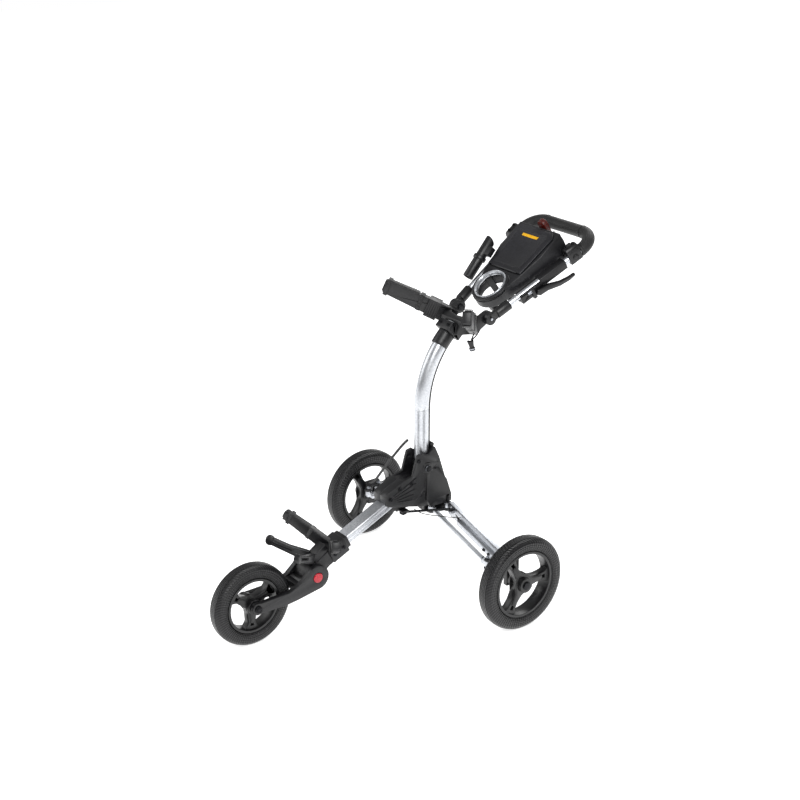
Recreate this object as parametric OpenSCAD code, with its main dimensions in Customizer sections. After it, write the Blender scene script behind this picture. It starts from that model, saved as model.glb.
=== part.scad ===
// Three-wheel folding golf push cart, without a bag.
// Millimetres. +Z up, +X to the cart's left, the front wheel towards -Y.
// The origin is the middle of the footprint on the ground.

/* [Wheels] */
// Diameter of each rear wheel
rear_wheel_d = 254; // [230:1:290]
// Diameter of the front wheel
front_wheel_d = 220; // [190:1:240]
// Width of a tyre
tyre_w = 46; // [36:1:50]
// Thickness of the foam tyre, from rim to tread
tyre_t = 36; // [24:1:40]
// Distance between the middles of the rear wheels
track = 686; // [660:1:780]
// Distance from the rear axles forward to the front axle
wheelbase = 600; // [590:1:660]

/* [Mast] */
// Diameter of the mast tube
mast_d = 38; // [36:1:42]
// Wall of the mast tube
mast_wall = 2.5; // [1.5:0.5:4]
// Height of the mast's fold pivot above the ground
mast_pivot_z = 350; // [340:1:380]
// Straight length of the mast above its fold pivot
mast_straight = 160; // [120:1:220]
// Radius of the mast's bend
mast_bend_r = 268; // [240:1:300]
// Angle that the mast turns through, towards the rear
mast_bend = 46; // [40:1:50]

/* [Front beam] */
// Width of the front beam
beam_w = 40; // [34:1:42]
// Height of the front beam
beam_h = 26; // [22:1:28]
// Slope of the front beam
beam_slope = 24.6; // [22:0.2:27]
// Diameter of the thin rail under the beam
rail_d = 8; // [6:0.5:9]

/* [Rear legs] */
// Thickness of a rear leg, front to back
leg_t = 16; // [12:1:20]
// Height of a rear leg
leg_h = 36; // [30:1:38]
// Diameter of the link tube in front of a leg
link_d = 13; // [10:1:15]
// Diameter of a folding strut
strut_d = 6.5; // [5:0.5:7]

/* [Handle] */
// Diameter of the handle tube
handle_d = 19; // [16:0.5:20]
// Diameter of the foam grip
grip_d = 34; // [28:1:38]
// Length from the handle hinge to the middle of the crossbar
handle_len = 364; // [350:0.5:400]
// Slope of the handle at rest
handle_slope = 29.6; // [26:0.2:32]
// Angle that each side tube spreads outwards
handle_spread = 9; // [7:0.2:10]

/* [Console] */
// Outer diameter of the cup ring
cup_ring_d = 93; // [84:1:98]
// Bore of the cup ring
cup_bore_d = 80; // [72:1:86]
// Slope of the console lid above the handle tubes
lid_slope = 8.4; // [7:0.2:10]
// Bore of the umbrella holder
umbrella_bore_d = 24; // [20:0.5:26]

/* [Fits] */
// Radial clearance of a pin that turns in its bore
run_fit = 0.06; // [0.02:0.01:0.1]
// Gap between faces that slide past each other
gap = 0.5; // [0.4:0.1:0.8]

/* [Hidden] */
$fn = 48;

// Wheels, measured from the rear axle's line
rear_r = rear_wheel_d / 2;
front_r = front_wheel_d / 2;
rear_x = track / 2;
axle_r = 6;
rim_ring_t = 7;
rim_w = tyre_w - 8;
wheel_hub_w = tyre_w + 4;
wheel_hub_r = 20;

// Mast, with its pivot as the starting place
mast_r = mast_d / 2;
mast_y = -60;
mast_top_y = mast_y + mast_bend_r * (1 - cos(mast_bend));
mast_top_z = mast_pivot_z + mast_straight + mast_bend_r * sin(mast_bend);
mast_stub = 30;
// A tube is this much thicker round its bends than along its straights
bend_swell = 0.15;
mast_pin_r = 6;
foot_half = mast_r;
cheek_in = mast_r + gap;
hub_half = cheek_in + 7.5;

// Handle hinge, placed from the end of the mast
hinge_y = mast_top_y + 85;
hinge_z = mast_top_z + 42;
hinge_pin_r = 4;
yoke_in = 50;
yoke_t = 14;
yoke_r = 18;
foot_t = 14;
tube_x = yoke_in + yoke_t + gap + foot_t / 2;
handle_r = handle_d / 2;
grip_r = grip_d / 2;
corner_r = 50;
corner_y = handle_len - corner_r;
corner_x = tube_x + (corner_y * sin(handle_spread) - corner_r) / cos(handle_spread);
leg_run = (corner_x - tube_x + corner_r * cos(handle_spread)) / sin(handle_spread);

// Front beam and the fork's pivot
beam_y = -186;
beam_z = 266;
fork_y = -420;
fork_z = 142;
barrel_r = 30;
barrel_half = 25.5;
fork_ear_t = 14;
fork_in = barrel_half + gap;
fork_out = fork_in + fork_ear_t;
fork_pin_r = 6;
button_r = 13.5;
button_travel = 4;

// Rear legs: inner pivot P1, outer pivot Q1, and the link's two pivots beside them
leg_x1 = 40;
leg_z1 = 231;
leg_x2 = rear_x - 63;
leg_z2 = rear_r + 35;
leg_slope = atan((leg_z1 - leg_z2) / (leg_x2 - leg_x1));
link_dx = -15;
link_dy = -44;
knuckle_h = 16;
knuckle_r = 11;
link_knuckle_r = 9;
pin_r = 4;
strut_z = 236;
strut_pin_r = 3;
lug_x = 34;
lug_y = -16;
slide_y = -130;
slide_x = 14;

// The row's origin is the middle of the footprint
front_end = -wheelbase - front_r;
handle_end_y = hinge_y + handle_len * cos(handle_slope) + grip_r;
row_shift = -(front_end + handle_end_y) / 2;

// Console on the handle, in the handle's own frame
console_y1 = 292;
lid_y1 = 286;
cup_y = 84;
lid_z0 = 12;
tray_bottom = -9;
lobe_r = 54;
lid_t = 4;
lid_hinge_y = 143;

// Bungee that hangs under the left side of the upper bracket
bungee_d = 3.6;
bungee_sides = 8;
bungee_route = [[66, 66, 724], [68, 61, 718], [71, 54, 712], [75, 47, 708], [80, 41, 706],
  [84, 36, 706], [88, 37, 708], [89, 43, 712], [87, 51, 716], [84, 59, 721], [81, 66, 726]];

// ---------- Helpers ----------
module row() translate([0, row_shift, 0]) children();
module both_sides() {
  children();
  mirror([1, 0, 0]) children();
}
module x_cyl(r, x0, x1, y, z) translate([x0, y, z]) rotate([0, 90, 0]) cylinder(r = r, h = x1 - x0);
module z_cyl(r, x, y, z0, z1) translate([x, y, z0]) cylinder(r = r, h = z1 - z0);
module on_beam() translate([0, beam_y, beam_z]) rotate([beam_slope, 0, 0]) children();
module on_mast_top() translate([0, mast_top_y, mast_top_z]) rotate([-mast_bend, 0, 0]) children();
module on_handle() translate([0, hinge_y, hinge_z]) rotate([handle_slope, 0, 0]) children();
module on_side_tube(s) on_handle() translate([s * tube_x, 0, 0]) rotate([0, 0, -s * handle_spread])
  children();
module on_upper_arm() translate([50, mast_top_y + 51, mast_top_z + 24]) rotate([0, -23.5, -45.4])
  children();
module on_lower_arm() translate([18, -360, 201]) rotate([0, -27.8, -28.4]) children();
module on_cradle_arm() translate([18, -428, 190]) rotate([0, -26, -55]) children();
module side_view(x0, x1) translate([x0, 0, 0]) rotate([90, 0, 90]) linear_extrude(x1 - x0) children();
module front_view(y0, y1) translate([0, y1, 0]) rotate([90, 0, 0]) linear_extrude(y1 - y0) children();
module rounded(w, h, r) {
  square([w - 2 * r, h], center = true);
  square([w, h - 2 * r], center = true);
  for (x = [-1, 1], y = [-1, 1]) translate([x * (w / 2 - r), y * (h / 2 - r)]) circle(r);
}

// ---------- Hub ----------
module hub_profile() polygon([[-92, 392], [-34, 404], [-20, 374], [2, 304], [13, 260], [13, 241],
  [-74, 241], [-116, 252], [-176, 266], [-194, 274], [-196, 300], [-188, 308], [-140, 330],
  [-108, 338], [-100, 366]]);
module gusset_profile() polygon([[-62, 344], [-22, 344], [2, 304], [13, 260], [13, 241], [-58, 241],
  [-70, 262]]);
module gusset_front() polygon([[-28, 344], [28, 344], [40, 262], [40, 241], [-40, 241], [-40, 262]]);
module ear_plate() {
  linear_extrude(5.5) {
    translate([leg_x1, 0]) circle(knuckle_r + 2);
    translate([leg_x1 + link_dx, link_dy]) circle(link_knuckle_r + 2);
    polygon([[0, -58], [leg_x1 + link_dx, -55], [leg_x1 + link_dx + 6, -50], [leg_x1 + 2, -13],
      [leg_x1, 13], [0, 13]]);
  }
}
module hub_ribs() for (a = [0 : 3]) translate([hub_half - 1, -96 + 9 * a, 268 + 4 * a])
  rotate([34 + 11 * a, 0, 0]) cube([3, 92 - 7 * a, 3.5]);
module hub_solid() {
  difference() {
    union() {
      side_view(-hub_half, hub_half) hub_profile();
      intersection() {
        side_view(-60, 60) gusset_profile();
        front_view(-80, 30) gusset_front();
      }
      both_sides() {
        intersection() {
          hub_ribs();
          side_view(0, 60) hub_profile();
        }
        translate([0, 0, leg_z1 - knuckle_h / 2 - gap - 5.5]) ear_plate();
      }
      translate([-12, -58, leg_z1 - knuckle_h / 2 - 6]) cube([24, 71, 32]);
      translate([-11, -180, 244]) cube([22, 84, 18]);
      x_cyl(16, -hub_half - 3, hub_half + 3, mast_y, mast_pivot_z);
    }
    // Room for the mast, upright and folded forwards
    translate([-cheek_in, -240, mast_pivot_z - mast_r - gap]) cube([2 * cheek_in, 240 + mast_y, 90]);
    x_cyl(mast_r + gap + 1, -cheek_in, cheek_in, mast_y, mast_pivot_z);
    z_cyl(mast_r + gap, 0, mast_y, mast_pivot_z, 420);
    // Rounded notches that show the mast through both cheeks
    x_cyl(20, -60, 60, mast_y, 408);
    // Slot of the latch behind the mast
    translate([-13 - gap, -50, 344]) cube([26 + 2 * gap, 60, 80]);
    // Socket of the front beam
    on_beam() translate([-beam_w / 2, -60, -beam_h / 2]) cube([beam_w, 132, beam_h]);
    // Slot of the slider under the hub
    translate([-4 - gap, -185, 240]) cube([8 + 2 * gap, 90, 9]);
    translate([-7 - gap, -185, 248 - gap]) cube([14 + 2 * gap, 90, 5 + 2 * gap]);
    both_sides() {
      z_cyl(pin_r, leg_x1, 0, 200, 262);
      z_cyl(pin_r, leg_x1 + link_dx, link_dy, 200, 262);
    }
    x_cyl(mast_pin_r, -80, 80, mast_y, mast_pivot_z);
    x_cyl(3 + run_fit, -60, 60, -26, 362);
    hub_screw_set(2.5, 60);
  }
}
module hub_half_shell(s) color([0.13, 0.13, 0.14]) intersection() {
  hub_solid();
  translate([s > 0 ? 0 : -100, -300, 150]) cube([100, 400, 300]);
}
module hub_left_shell() hub_half_shell(1);
module hub_right_shell() hub_half_shell(-1);
hub_screw_places = [[-112, 318], [-180, 290], [-88, 376], [-150, 312]];
module hub_screw_set(r, h) for (p = hub_screw_places) x_cyl(r, -h, h, p[0], p[1]);
module hub_screws() color([0.35, 0.35, 0.37]) both_sides() for (p = hub_screw_places) difference() {
  union() {
    x_cyl(2.5, 24, hub_half, p[0], p[1]);
    x_cyl(4.5, hub_half, hub_half + 2.5, p[0], p[1]);
  }
  x_cyl(2, hub_half + 1, hub_half + 4, p[0], p[1]);
}
module mast_pin() color("silver") {
  x_cyl(mast_pin_r, -hub_half - 3, hub_half + 3, mast_y, mast_pivot_z);
  both_sides() x_cyl(9, hub_half + 3, hub_half + 6, mast_y, mast_pivot_z);
}
module leg_pins() color("silver") both_sides() {
  z_cyl(pin_r, leg_x1, 0, leg_z1 - knuckle_h / 2 - 6, 258);
  z_cyl(pin_r, leg_x1 + link_dx, link_dy, leg_z1 - knuckle_h / 2 - 6, 258);
}

// ---------- Front beam and lower bracket ----------
module beam_outline() difference() {
  rounded(beam_w, beam_h, 5);
  for (s = [-1, 1]) translate([s * beam_w / 2, 0]) circle(2);
}
module front_beam() color([0.78, 0.79, 0.8]) on_beam() translate([0, 70, 0]) rotate([90, 0, 0])
  linear_extrude(262) difference() {
    beam_outline();
    rounded(beam_w - 5, beam_h - 5, 3);
  }
module front_rail() color([0.75, 0.76, 0.77]) on_beam() translate([0, -1, -beam_h / 2 - rail_d / 2 - 2])
  rotate([90, 0, 0]) cylinder(r = rail_d / 2, h = 140);
module neck() translate([0, fork_y, fork_z]) rotate([34.5, 0, 0]) {
  translate([-20, 0, -19]) cube([40, 82, 38]);
  translate([-16, 24, 8]) cube([32, 50, 30]);
}
module lower_bracket_block() {
  difference() {
    union() {
      on_beam() translate([-27, -202, -23]) cube([54, 54, 42]);
      neck();
      x_cyl(barrel_r, -barrel_half, barrel_half, fork_y, fork_z);
    }
    on_beam() translate([-beam_w / 2, -192, -beam_h / 2]) cube([beam_w, 60, beam_h]);
    on_beam() translate([-rail_d, -154, -beam_h / 2 - rail_d - 3]) cube([2 * rail_d, 20, rail_d + 4]);
    x_cyl(fork_pin_r, -60, 60, fork_y, fork_z);
  }
}
module lower_bracket() color([0.12, 0.12, 0.13]) lower_bracket_block();
module arm_bar(len, h0, h1, t) {
  rotate([90, 0, 0]) translate([0, 0, -t / 2]) linear_extrude(t)
    polygon([[-14, -h0 / 2], [len - 12, -h1 / 2], [len, -h1 / 2 + 6], [len, h1 / 2 - 3],
      [len - 5, h1 / 2], [0.3 * len, h0 / 2], [-14, h0 / 2]]);
  translate([len - 16, -t / 2 - 3, -h1 / 2 + 2]) cube([12, t + 6, h1 - 4]);
}
module lower_arm() difference() {
  on_lower_arm() arm_bar(132, 34, 26, 18);
  on_beam() translate([-27, -202, -23]) cube([54, 54, 42]);
  on_beam() translate([-beam_w / 2, -192, -beam_h / 2]) cube([beam_w, 60, beam_h]);
  neck();
  translate([-100, -400, 100]) cube([100, 200, 300]);
}
module lower_arm_left() color([0.12, 0.12, 0.13]) lower_arm();
module lower_arm_right() color([0.12, 0.12, 0.13]) mirror([1, 0, 0]) lower_arm();
module cradle_paddle() difference() {
  on_cradle_arm() difference() {
    union() {
      rotate([90, 0, 0]) translate([0, 0, -7]) linear_extrude(14)
        polygon([[-12, -14], [30, -12], [92, -9], [104, 0], [92, 9], [40, 8], [-12, 14]]);
      translate([92, -7, 0]) rotate([-90, 0, 0]) cylinder(r = 12, h = 14);
    }
    translate([30, -8, -3]) cube([54, 16, 6]);
  }
  neck();
  x_cyl(barrel_r + 1, -60, 60, fork_y, fork_z);
  translate([-100, -600, 100]) cube([100, 300, 300]);
}
module bag_cradle() color([0.12, 0.12, 0.13]) {
  both_sides() cradle_paddle();
}
module fork_pin() color("silver") difference() {
  x_cyl(fork_pin_r, -fork_out, fork_in + 3, fork_y, fork_z);
  x_cyl(2, -fork_out - 1, -fork_out + 4, fork_y, fork_z);
}

// ---------- Mast ----------
module mast_bend_ring(a0, a1) translate([0, mast_y + mast_bend_r, mast_pivot_z + mast_straight])
  rotate([90, 0, -90]) rotate([0, 0, a0]) rotate_extrude(angle = a1 - a0, $fn = 96)
    translate([mast_bend_r, 0]) children();
module mast_tube() color([0.8, 0.81, 0.82]) difference() {
  union() {
    z_cyl(mast_r, 0, mast_y, mast_pivot_z + mast_r + 1, mast_pivot_z + mast_straight + 1);
    mast_bend_ring(0, mast_bend) circle(mast_r + bend_swell);
    on_mast_top() translate([0, 0, -1]) cylinder(r = mast_r, h = mast_stub + 1);
  }
  z_cyl(mast_r - mast_wall, 0, mast_y, mast_pivot_z + mast_r, mast_pivot_z + mast_straight + 1);
  mast_bend_ring(-0.1, mast_bend + 0.1) circle(mast_r - mast_wall + bend_swell);
  on_mast_top() translate([0, 0, -1]) cylinder(r = mast_r - mast_wall, h = mast_stub + 2);
}
module mast_foot() color([0.12, 0.12, 0.13]) difference() {
  union() {
    x_cyl(foot_half, -foot_half, foot_half, mast_y, mast_pivot_z);
    z_cyl(mast_r - mast_wall - 0.05, 0, mast_y, mast_pivot_z, mast_pivot_z + mast_r + 40);
  }
  x_cyl(mast_pin_r + run_fit, -60, 60, mast_y, mast_pivot_z);
}
module mast_collar() color([0.12, 0.12, 0.13]) difference() {
  mast_bend_ring(mast_bend - 8.2, mast_bend) circle(mast_r + 4);
  mast_bend_ring(mast_bend - 9, mast_bend + 1) circle(mast_r + bend_swell + 0.05);
}
module yoke_bar() polygon([[mast_top_y + 4, mast_top_z + 2], [mast_top_y + 14, mast_top_z + 40],
  [mast_top_y + 50, mast_top_z + 46], [hinge_y - 4, hinge_z + yoke_r - 0.5], [hinge_y, hinge_z],
  [hinge_y - 5, hinge_z - yoke_r + 0.8], [mast_top_y + 46, mast_top_z + 5]]);
module yoke_plan() {
  polygon([[0, mast_top_y - 8], [26, mast_top_y - 8], [yoke_in + yoke_t - 2, mast_top_y + 42],
    [yoke_in + yoke_t, hinge_y - 26], [yoke_in + yoke_t, hinge_y + yoke_r], [yoke_in, hinge_y + yoke_r],
    [yoke_in, hinge_y - 30], [27, mast_top_y + 38], [0, mast_top_y + 34]]);
}
module upper_bracket_block() {
  intersection() {
    side_view(-80, 80) union() {
      yoke_bar();
      translate([hinge_y, hinge_z]) circle(yoke_r);
    }
    translate([0, 0, 600]) linear_extrude(250) union() {
      yoke_plan();
      mirror([1, 0]) yoke_plan();
    }
  }
  on_mast_top() translate([-27, -27, 0]) cube([54, 52, 26]);
}
module upper_bracket() color([0.12, 0.12, 0.13]) difference() {
  upper_bracket_block();
  on_mast_top() translate([0, 0, -1]) cylinder(r = mast_r, h = mast_stub + 1);
  x_cyl(hinge_pin_r, -90, 90, hinge_y, hinge_z);
}
module upper_arm() difference() {
  on_upper_arm() arm_bar(194, 46, 36, 19);
  upper_bracket_block();
  translate([-100, -200, 500]) cube([100, 400, 500]);
}
module upper_arm_left() color([0.12, 0.12, 0.13]) upper_arm();
module upper_arm_right() color([0.12, 0.12, 0.13]) mirror([1, 0, 0]) upper_arm();
module strap_buckle() color([0.1, 0.1, 0.11]) mirror([1, 0, 0]) on_upper_arm() difference() {
  translate([34, -17, -25]) cube([34, 34, 50]);
  translate([33, -9.5, -23.5]) cube([36, 19, 47]);
  for (k = [0 : 4]) translate([37 + 6.4 * k, -18, -20]) cube([2.4, 3, 40]);
}
module handle_pins() color("silver") both_sides()
  x_cyl(hinge_pin_r, yoke_in, yoke_in + yoke_t + gap + foot_t + 2, hinge_y, hinge_z);

// ---------- Bungee ----------
function unit(v) = v / norm(v);
function along(p, i) = unit(p[min(i + 1, len(p) - 1)] - p[max(i - 1, 0)]);
function side_of(t) = unit(cross(t, [1, 0.3, 0.2]));
function tube_ring(c, t, r, n) = let(u = side_of(t), w = cross(t, u))
  [for (k = [0 : n - 1]) c + r * (cos(360 * k / n) * u + sin(360 * k / n) * w)];
module swept_tube(path, d, n) {
  m = len(path);
  rings = [for (i = [0 : m - 1]) each tube_ring(path[i], along(path, i), d / 2, n)];
  sides = [for (i = [0 : m - 2], k = [0 : n - 1])
    [i * n + k, i * n + (k + 1) % n, (i + 1) * n + (k + 1) % n, (i + 1) * n + k]];
  polyhedron(rings, concat([[for (k = [n - 1 : -1 : 0]) k]], sides, [[for (k = [0 : n - 1]) (m - 1) * n + k]]));
}
module bungee_loop() color([0.08, 0.08, 0.08]) swept_tube(bungee_route, bungee_d, bungee_sides);
module bungee_hook() color([0.12, 0.12, 0.13]) translate([83, 34, 706]) rotate([12, -8, 0]) difference() {
  translate([0, -2, -30]) union() {
    cylinder(r = 6.5, h = 28);
    translate([0, 0, 14]) cylinder(r1 = 6.5, r2 = 9, h = 14);
    cylinder(r = 8, h = 8);
  }
  translate([0, 2, 0]) rotate([0, 90, 0]) cylinder(r = 5.2, h = 40, center = true);
}

// ---------- Handle ----------
module handle_leg(s, r, y0, y1) on_side_tube(s) translate([0, y1, 0]) rotate([90, 0, 0])
  cylinder(r = r, h = y1 - y0);
module handle_corner(r) on_handle() translate([corner_x, corner_y, 0])
  rotate([0, 0, -handle_spread]) rotate_extrude(angle = 90 + handle_spread, $fn = 64)
    translate([corner_r, 0]) circle(r, $fn = 32);
module handle_crossbar(r) on_handle() translate([-corner_x - 1, handle_len, 0]) rotate([0, 90, 0])
  cylinder(r = r, h = 2 * corner_x + 2);
module handle_solid(r, y0) {
  both_sides() {
    handle_leg(1, r, y0, leg_run + 1);
    handle_corner(r + bend_swell);
  }
  handle_crossbar(r);
}
module handle_tube() color([0.8, 0.81, 0.82]) handle_solid(handle_r, 24);
module handle_grip() color([0.08, 0.08, 0.09]) difference() {
  handle_solid(grip_r, leg_run - 6);
  handle_solid(handle_r, leg_run - 20);
}
module handle_clamps() color([0.12, 0.12, 0.13]) for (s = [-1, 1]) difference() {
  on_side_tube(s) union() {
    translate([-14, 264, -14]) cube([28, 38, 34]);
    translate([s > 0 ? -26 : 2, 268, 2]) cube([24, 30, 22]);
    translate([0, 302, 20]) rotate([90, 0, 0]) cylinder(r = 13, h = 38);
  }
  handle_leg(s, handle_r, 200, leg_run);
  on_handle() tray_body();
}
module handle_feet() color([0.12, 0.12, 0.13]) for (s = [-1, 1]) difference() {
  union() {
    on_handle() translate([s * tube_x - foot_t / 2, 0, 0]) rotate([0, 90, 0]) cylinder(r = yoke_r - 1, h = foot_t);
    on_side_tube(s) translate([-foot_t / 2 + 0.6, 2, -11]) cube([foot_t - 1.2, 30, 22]);
    handle_leg(s, handle_r + 4.5, 22, 64);
  }
  handle_leg(s, handle_r, 24, 120);
  x_cyl(hinge_pin_r + run_fit, -100, 100, hinge_y, hinge_z);
}

// ---------- Console ----------
function tray_half(y) = 61 + 36 * (y - 110) / (console_y1 - 110);
module lid_plane() translate([0, 0, lid_z0]) rotate([lid_slope, 0, 0]) children();
module on_lid() on_handle() lid_plane() children();
module tray_body() intersection() {
  difference() {
    union() {
      translate([0, cup_y, tray_bottom]) cylinder(r = lobe_r, h = 140, $fn = 96);
      translate([0, 0, tray_bottom]) linear_extrude(140) polygon([[-53, cup_y], [53, cup_y],
        [tray_half(130), 130], [tray_half(console_y1), console_y1 - 12],
        [tray_half(console_y1) - 14, console_y1], [14 - tray_half(console_y1), console_y1],
        [-tray_half(console_y1), console_y1 - 12], [-tray_half(130), 130]]);
    }
    lid_plane() translate([-200, -100, 0]) cube([400, 600, 400]);
  }
  // Flanks that lean in from the handle tubes to the lid
  rotate([90, 0, 0]) translate([0, 0, -400]) linear_extrude(500)
    polygon([[-98, tray_bottom], [98, tray_bottom], [98, 2], [80, 46], [76, 100], [-76, 100], [-80, 46],
      [-98, 2]]);
}
module console_tray() color([0.15, 0.15, 0.16]) difference() {
  on_handle() difference() {
    union() {
      tray_body();
      lid_plane() translate([0, cup_y, -4]) difference() {
        cylinder(r = lobe_r + 1, h = 8, $fn = 96);
        translate([-80, 42, -1]) cube([160, 60, 20]);
      }
    }
    // Storage space under the lid
    intersection() {
      translate([0, 0, tray_bottom + 3]) linear_extrude(120) polygon([[-54, 150], [54, 150],
        [66, console_y1 - 18], [-66, console_y1 - 18]]);
      lid_plane() translate([-100, 0, -120]) cube([200, 400, 121]);
    }
    // Seat of the cup ring, and the way through it
    lid_plane() translate([0, cup_y, -10]) cylinder(r = cup_ring_d / 2, h = 44, $fn = 96);
    lid_plane() translate([0, cup_y, -60]) cylinder(r = cup_bore_d / 2, h = 80, $fn = 96);
    // Pocket of the release button
    translate([-17 - gap, console_y1 - 27, 22]) cube([34 + 2 * gap, 40, 20 + gap]);
    // Hinge barrel of the lid
    lid_plane() translate([-56, lid_hinge_y, 1]) rotate([0, 90, 0]) cylinder(r = 3.2 + gap, h = 112);
  }
  for (s = [-1, 1]) handle_leg(s, handle_r, 10, leg_run);
}
module cup_ring() color([0.78, 0.79, 0.8]) on_lid() translate([0, cup_y, -6]) rotate_extrude($fn = 96)
  polygon([[cup_bore_d / 2, 0], [cup_ring_d / 2, 0], [cup_ring_d / 2, 12], [cup_ring_d / 2 - 3, 13],
    [cup_bore_d / 2, 7]]);
module cup_fingers() color([0.1, 0.1, 0.11]) on_lid() translate([0, cup_y, 0]) for (a = [30, 150, 270])
  rotate([0, 0, a - 13]) {
    rotate_extrude(angle = 26, $fn = 64) polygon([[cup_bore_d / 2 - 4, -58], [cup_bore_d / 2 - 0.4, -58],
      [cup_bore_d / 2 - 0.4, -6.4], [cup_bore_d / 2 - 4, -6.4]]);
    rotate_extrude(angle = 26, $fn = 64) polygon([[15, -62], [cup_bore_d / 2 - 0.4, -62],
      [cup_bore_d / 2 - 0.4, -58], [15, -58]]);
    rotate_extrude(angle = 26, $fn = 64) polygon([[cup_bore_d / 2 - 4, -10], [cup_ring_d / 2 - 1, -10],
      [cup_ring_d / 2 - 1, -6.4], [cup_bore_d / 2 - 4, -6.4]]);
  }
module on_umbrella() on_handle() translate([-101, 84, 19]) rotate([-70.4, 0, 0]) children();
module umbrella_tube() color([0.12, 0.12, 0.13]) difference() {
  union() {
    on_umbrella() difference() {
      cylinder(r = umbrella_bore_d / 2 + 2.5, h = 128);
      translate([-30, -2, 118]) rotate([-28, 0, 0]) translate([0, -30, 0]) cube([60, 60, 30]);
    }
    on_umbrella() translate([0, -8, 74]) cube([30, 16, 26]);
  }
  on_umbrella() translate([0, 0, -1]) cylinder(r = umbrella_bore_d / 2, h = 140);
  console_tray_hull();
}
module console_tray_hull() on_handle() tray_body();
module umbrella_collar() color([0.12, 0.12, 0.13]) on_umbrella() translate([0, 0, 56]) difference() {
  cylinder(r = umbrella_bore_d / 2 + 6, h = 11);
  translate([0, 0, -1]) cylinder(r = umbrella_bore_d / 2 + 2.5, h = 13);
}
module console_lid() color([0.2, 0.2, 0.21]) on_lid() {
  translate([0, 0, gap]) linear_extrude(lid_t) polygon([[-65, lid_hinge_y - gap], [65, lid_hinge_y - gap],
    [74, lid_y1 - 14], [62, lid_y1], [-62, lid_y1], [-74, lid_y1 - 14]]);
  translate([-50, lid_hinge_y, gap + 1]) rotate([0, 90, 0]) cylinder(r = 3.2, h = 100);
}
module release_button() color([0.5, 0.1, 0.05]) on_handle() difference() {
  union() {
    translate([-17, console_y1 - 20, 22.3]) cube([34, 26, 19.4]);
    translate([-15, console_y1 + 5.6, 22.3]) cube([30, 14, 33]);
    translate([0, console_y1 + 19.6, 55.3]) rotate([90, 0, 0]) cylinder(r = 15, h = 14);
  }
  translate([-12, console_y1 + 15, 28]) cube([24, 6, 12]);
}
module tee_post() color([0.12, 0.12, 0.13]) on_handle() translate([46, console_y1 + 7, 8]) {
  translate([-6, -7, 0]) cube([12, 10, 24]);
  translate([0, -1, 24]) cylinder(r1 = 3, r2 = 1.2, h = 18);
}
module lever_bracket() color([0.12, 0.12, 0.13]) difference() {
  on_side_tube(1) union() {
    translate([-13, 96, -20]) cube([26, 70, 26]);
    translate([6, 128, -24]) cube([14, 32, 28]);
    // Cover along the tube above the bracket
    translate([-12, 165, -13]) cube([24, 86, 25]);
  }
  handle_leg(1, handle_r, 60, 290);
  on_side_tube(1) translate([13.6, 138.4, -26]) cube([14, 36, 40]);
  on_handle() tray_body();
  on_side_tube(1) x_cyl(3, 0, 40, 148, -13);
}
module brake_lever() color([0.1, 0.1, 0.11]) on_side_tube(1) difference() {
  union() {
    x_cyl(9, 14.4, 25, 148, -13);
    translate([14.4, 0, 0]) rotate([90, 0, 90]) linear_extrude(10.6) polygon([[146, -22], [170, -24],
      [206, -36], [236, -40], [256, -38], [258, -32], [240, -31], [212, -25], [180, -10], [150, -4.4]]);
  }
}
module brake_cable() color([0.08, 0.08, 0.08]) difference() {
  on_side_tube(1) union() {
    translate([-13.8, 95.9, -10]) rotate([90, 0, 0]) cylinder(r = 2, h = 60);
    translate([17, 127.9, 1]) rotate([90, 0, 0]) cylinder(r = 2, h = 42);
  }
  on_handle() tray_body();
}
module fold_latch() color([0.12, 0.12, 0.13]) difference() {
  union() {
    x_cyl(7, -13, 13, -26, 362);
    x_cyl(3, -hub_half, hub_half, -26, 362);
    translate([-13, -37.5, 358]) cube([26, 9, 48]);
    x_cyl(6, -13, 13, -33, 406);
  }
  z_cyl(mast_r + gap, 0, mast_y, 340, 420);
}

// ---------- Fork ----------
module fork_side() difference() {
  union() {
    translate([fork_y, fork_z]) circle(33);
    polygon([[fork_y - 24, fork_z + 22], [fork_y + 8, fork_z - 32], [-446, 104], [-482, 98], [-520, 94],
      [-592, 96], [-612, 110], [-592, 124], [-506, 126], [-472, 140]]);
    translate([-wheelbase, front_r]) circle(16);
  }
}
module fork() color([0.12, 0.12, 0.13]) difference() {
  union() {
    for (s = [-1, 1]) side_view(s > 0 ? fork_in : -fork_out, s > 0 ? fork_out : -fork_in) fork_side();
    translate([-fork_out, fork_y - 60, fork_z - 30]) cube([2 * fork_out, 16, 24]);
  }
  x_cyl(fork_pin_r + run_fit, -60, 60, fork_y, fork_z);
  x_cyl(button_r + 0.4, fork_in + 4, 60, fork_y, fork_z);
  x_cyl(axle_r, -60, 60, -wheelbase, front_r);
}
module front_axle() color("silver") {
  x_cyl(axle_r, -fork_out, fork_out, -wheelbase, front_r);
  both_sides() x_cyl(10, fork_out, fork_out + 5, -wheelbase, front_r);
}
module fork_button() color([0.8, 0.08, 0.12]) x_cyl(button_r, fork_in + 4 + button_travel + 0.4,
  fork_out + 2, fork_y, fork_z);

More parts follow.
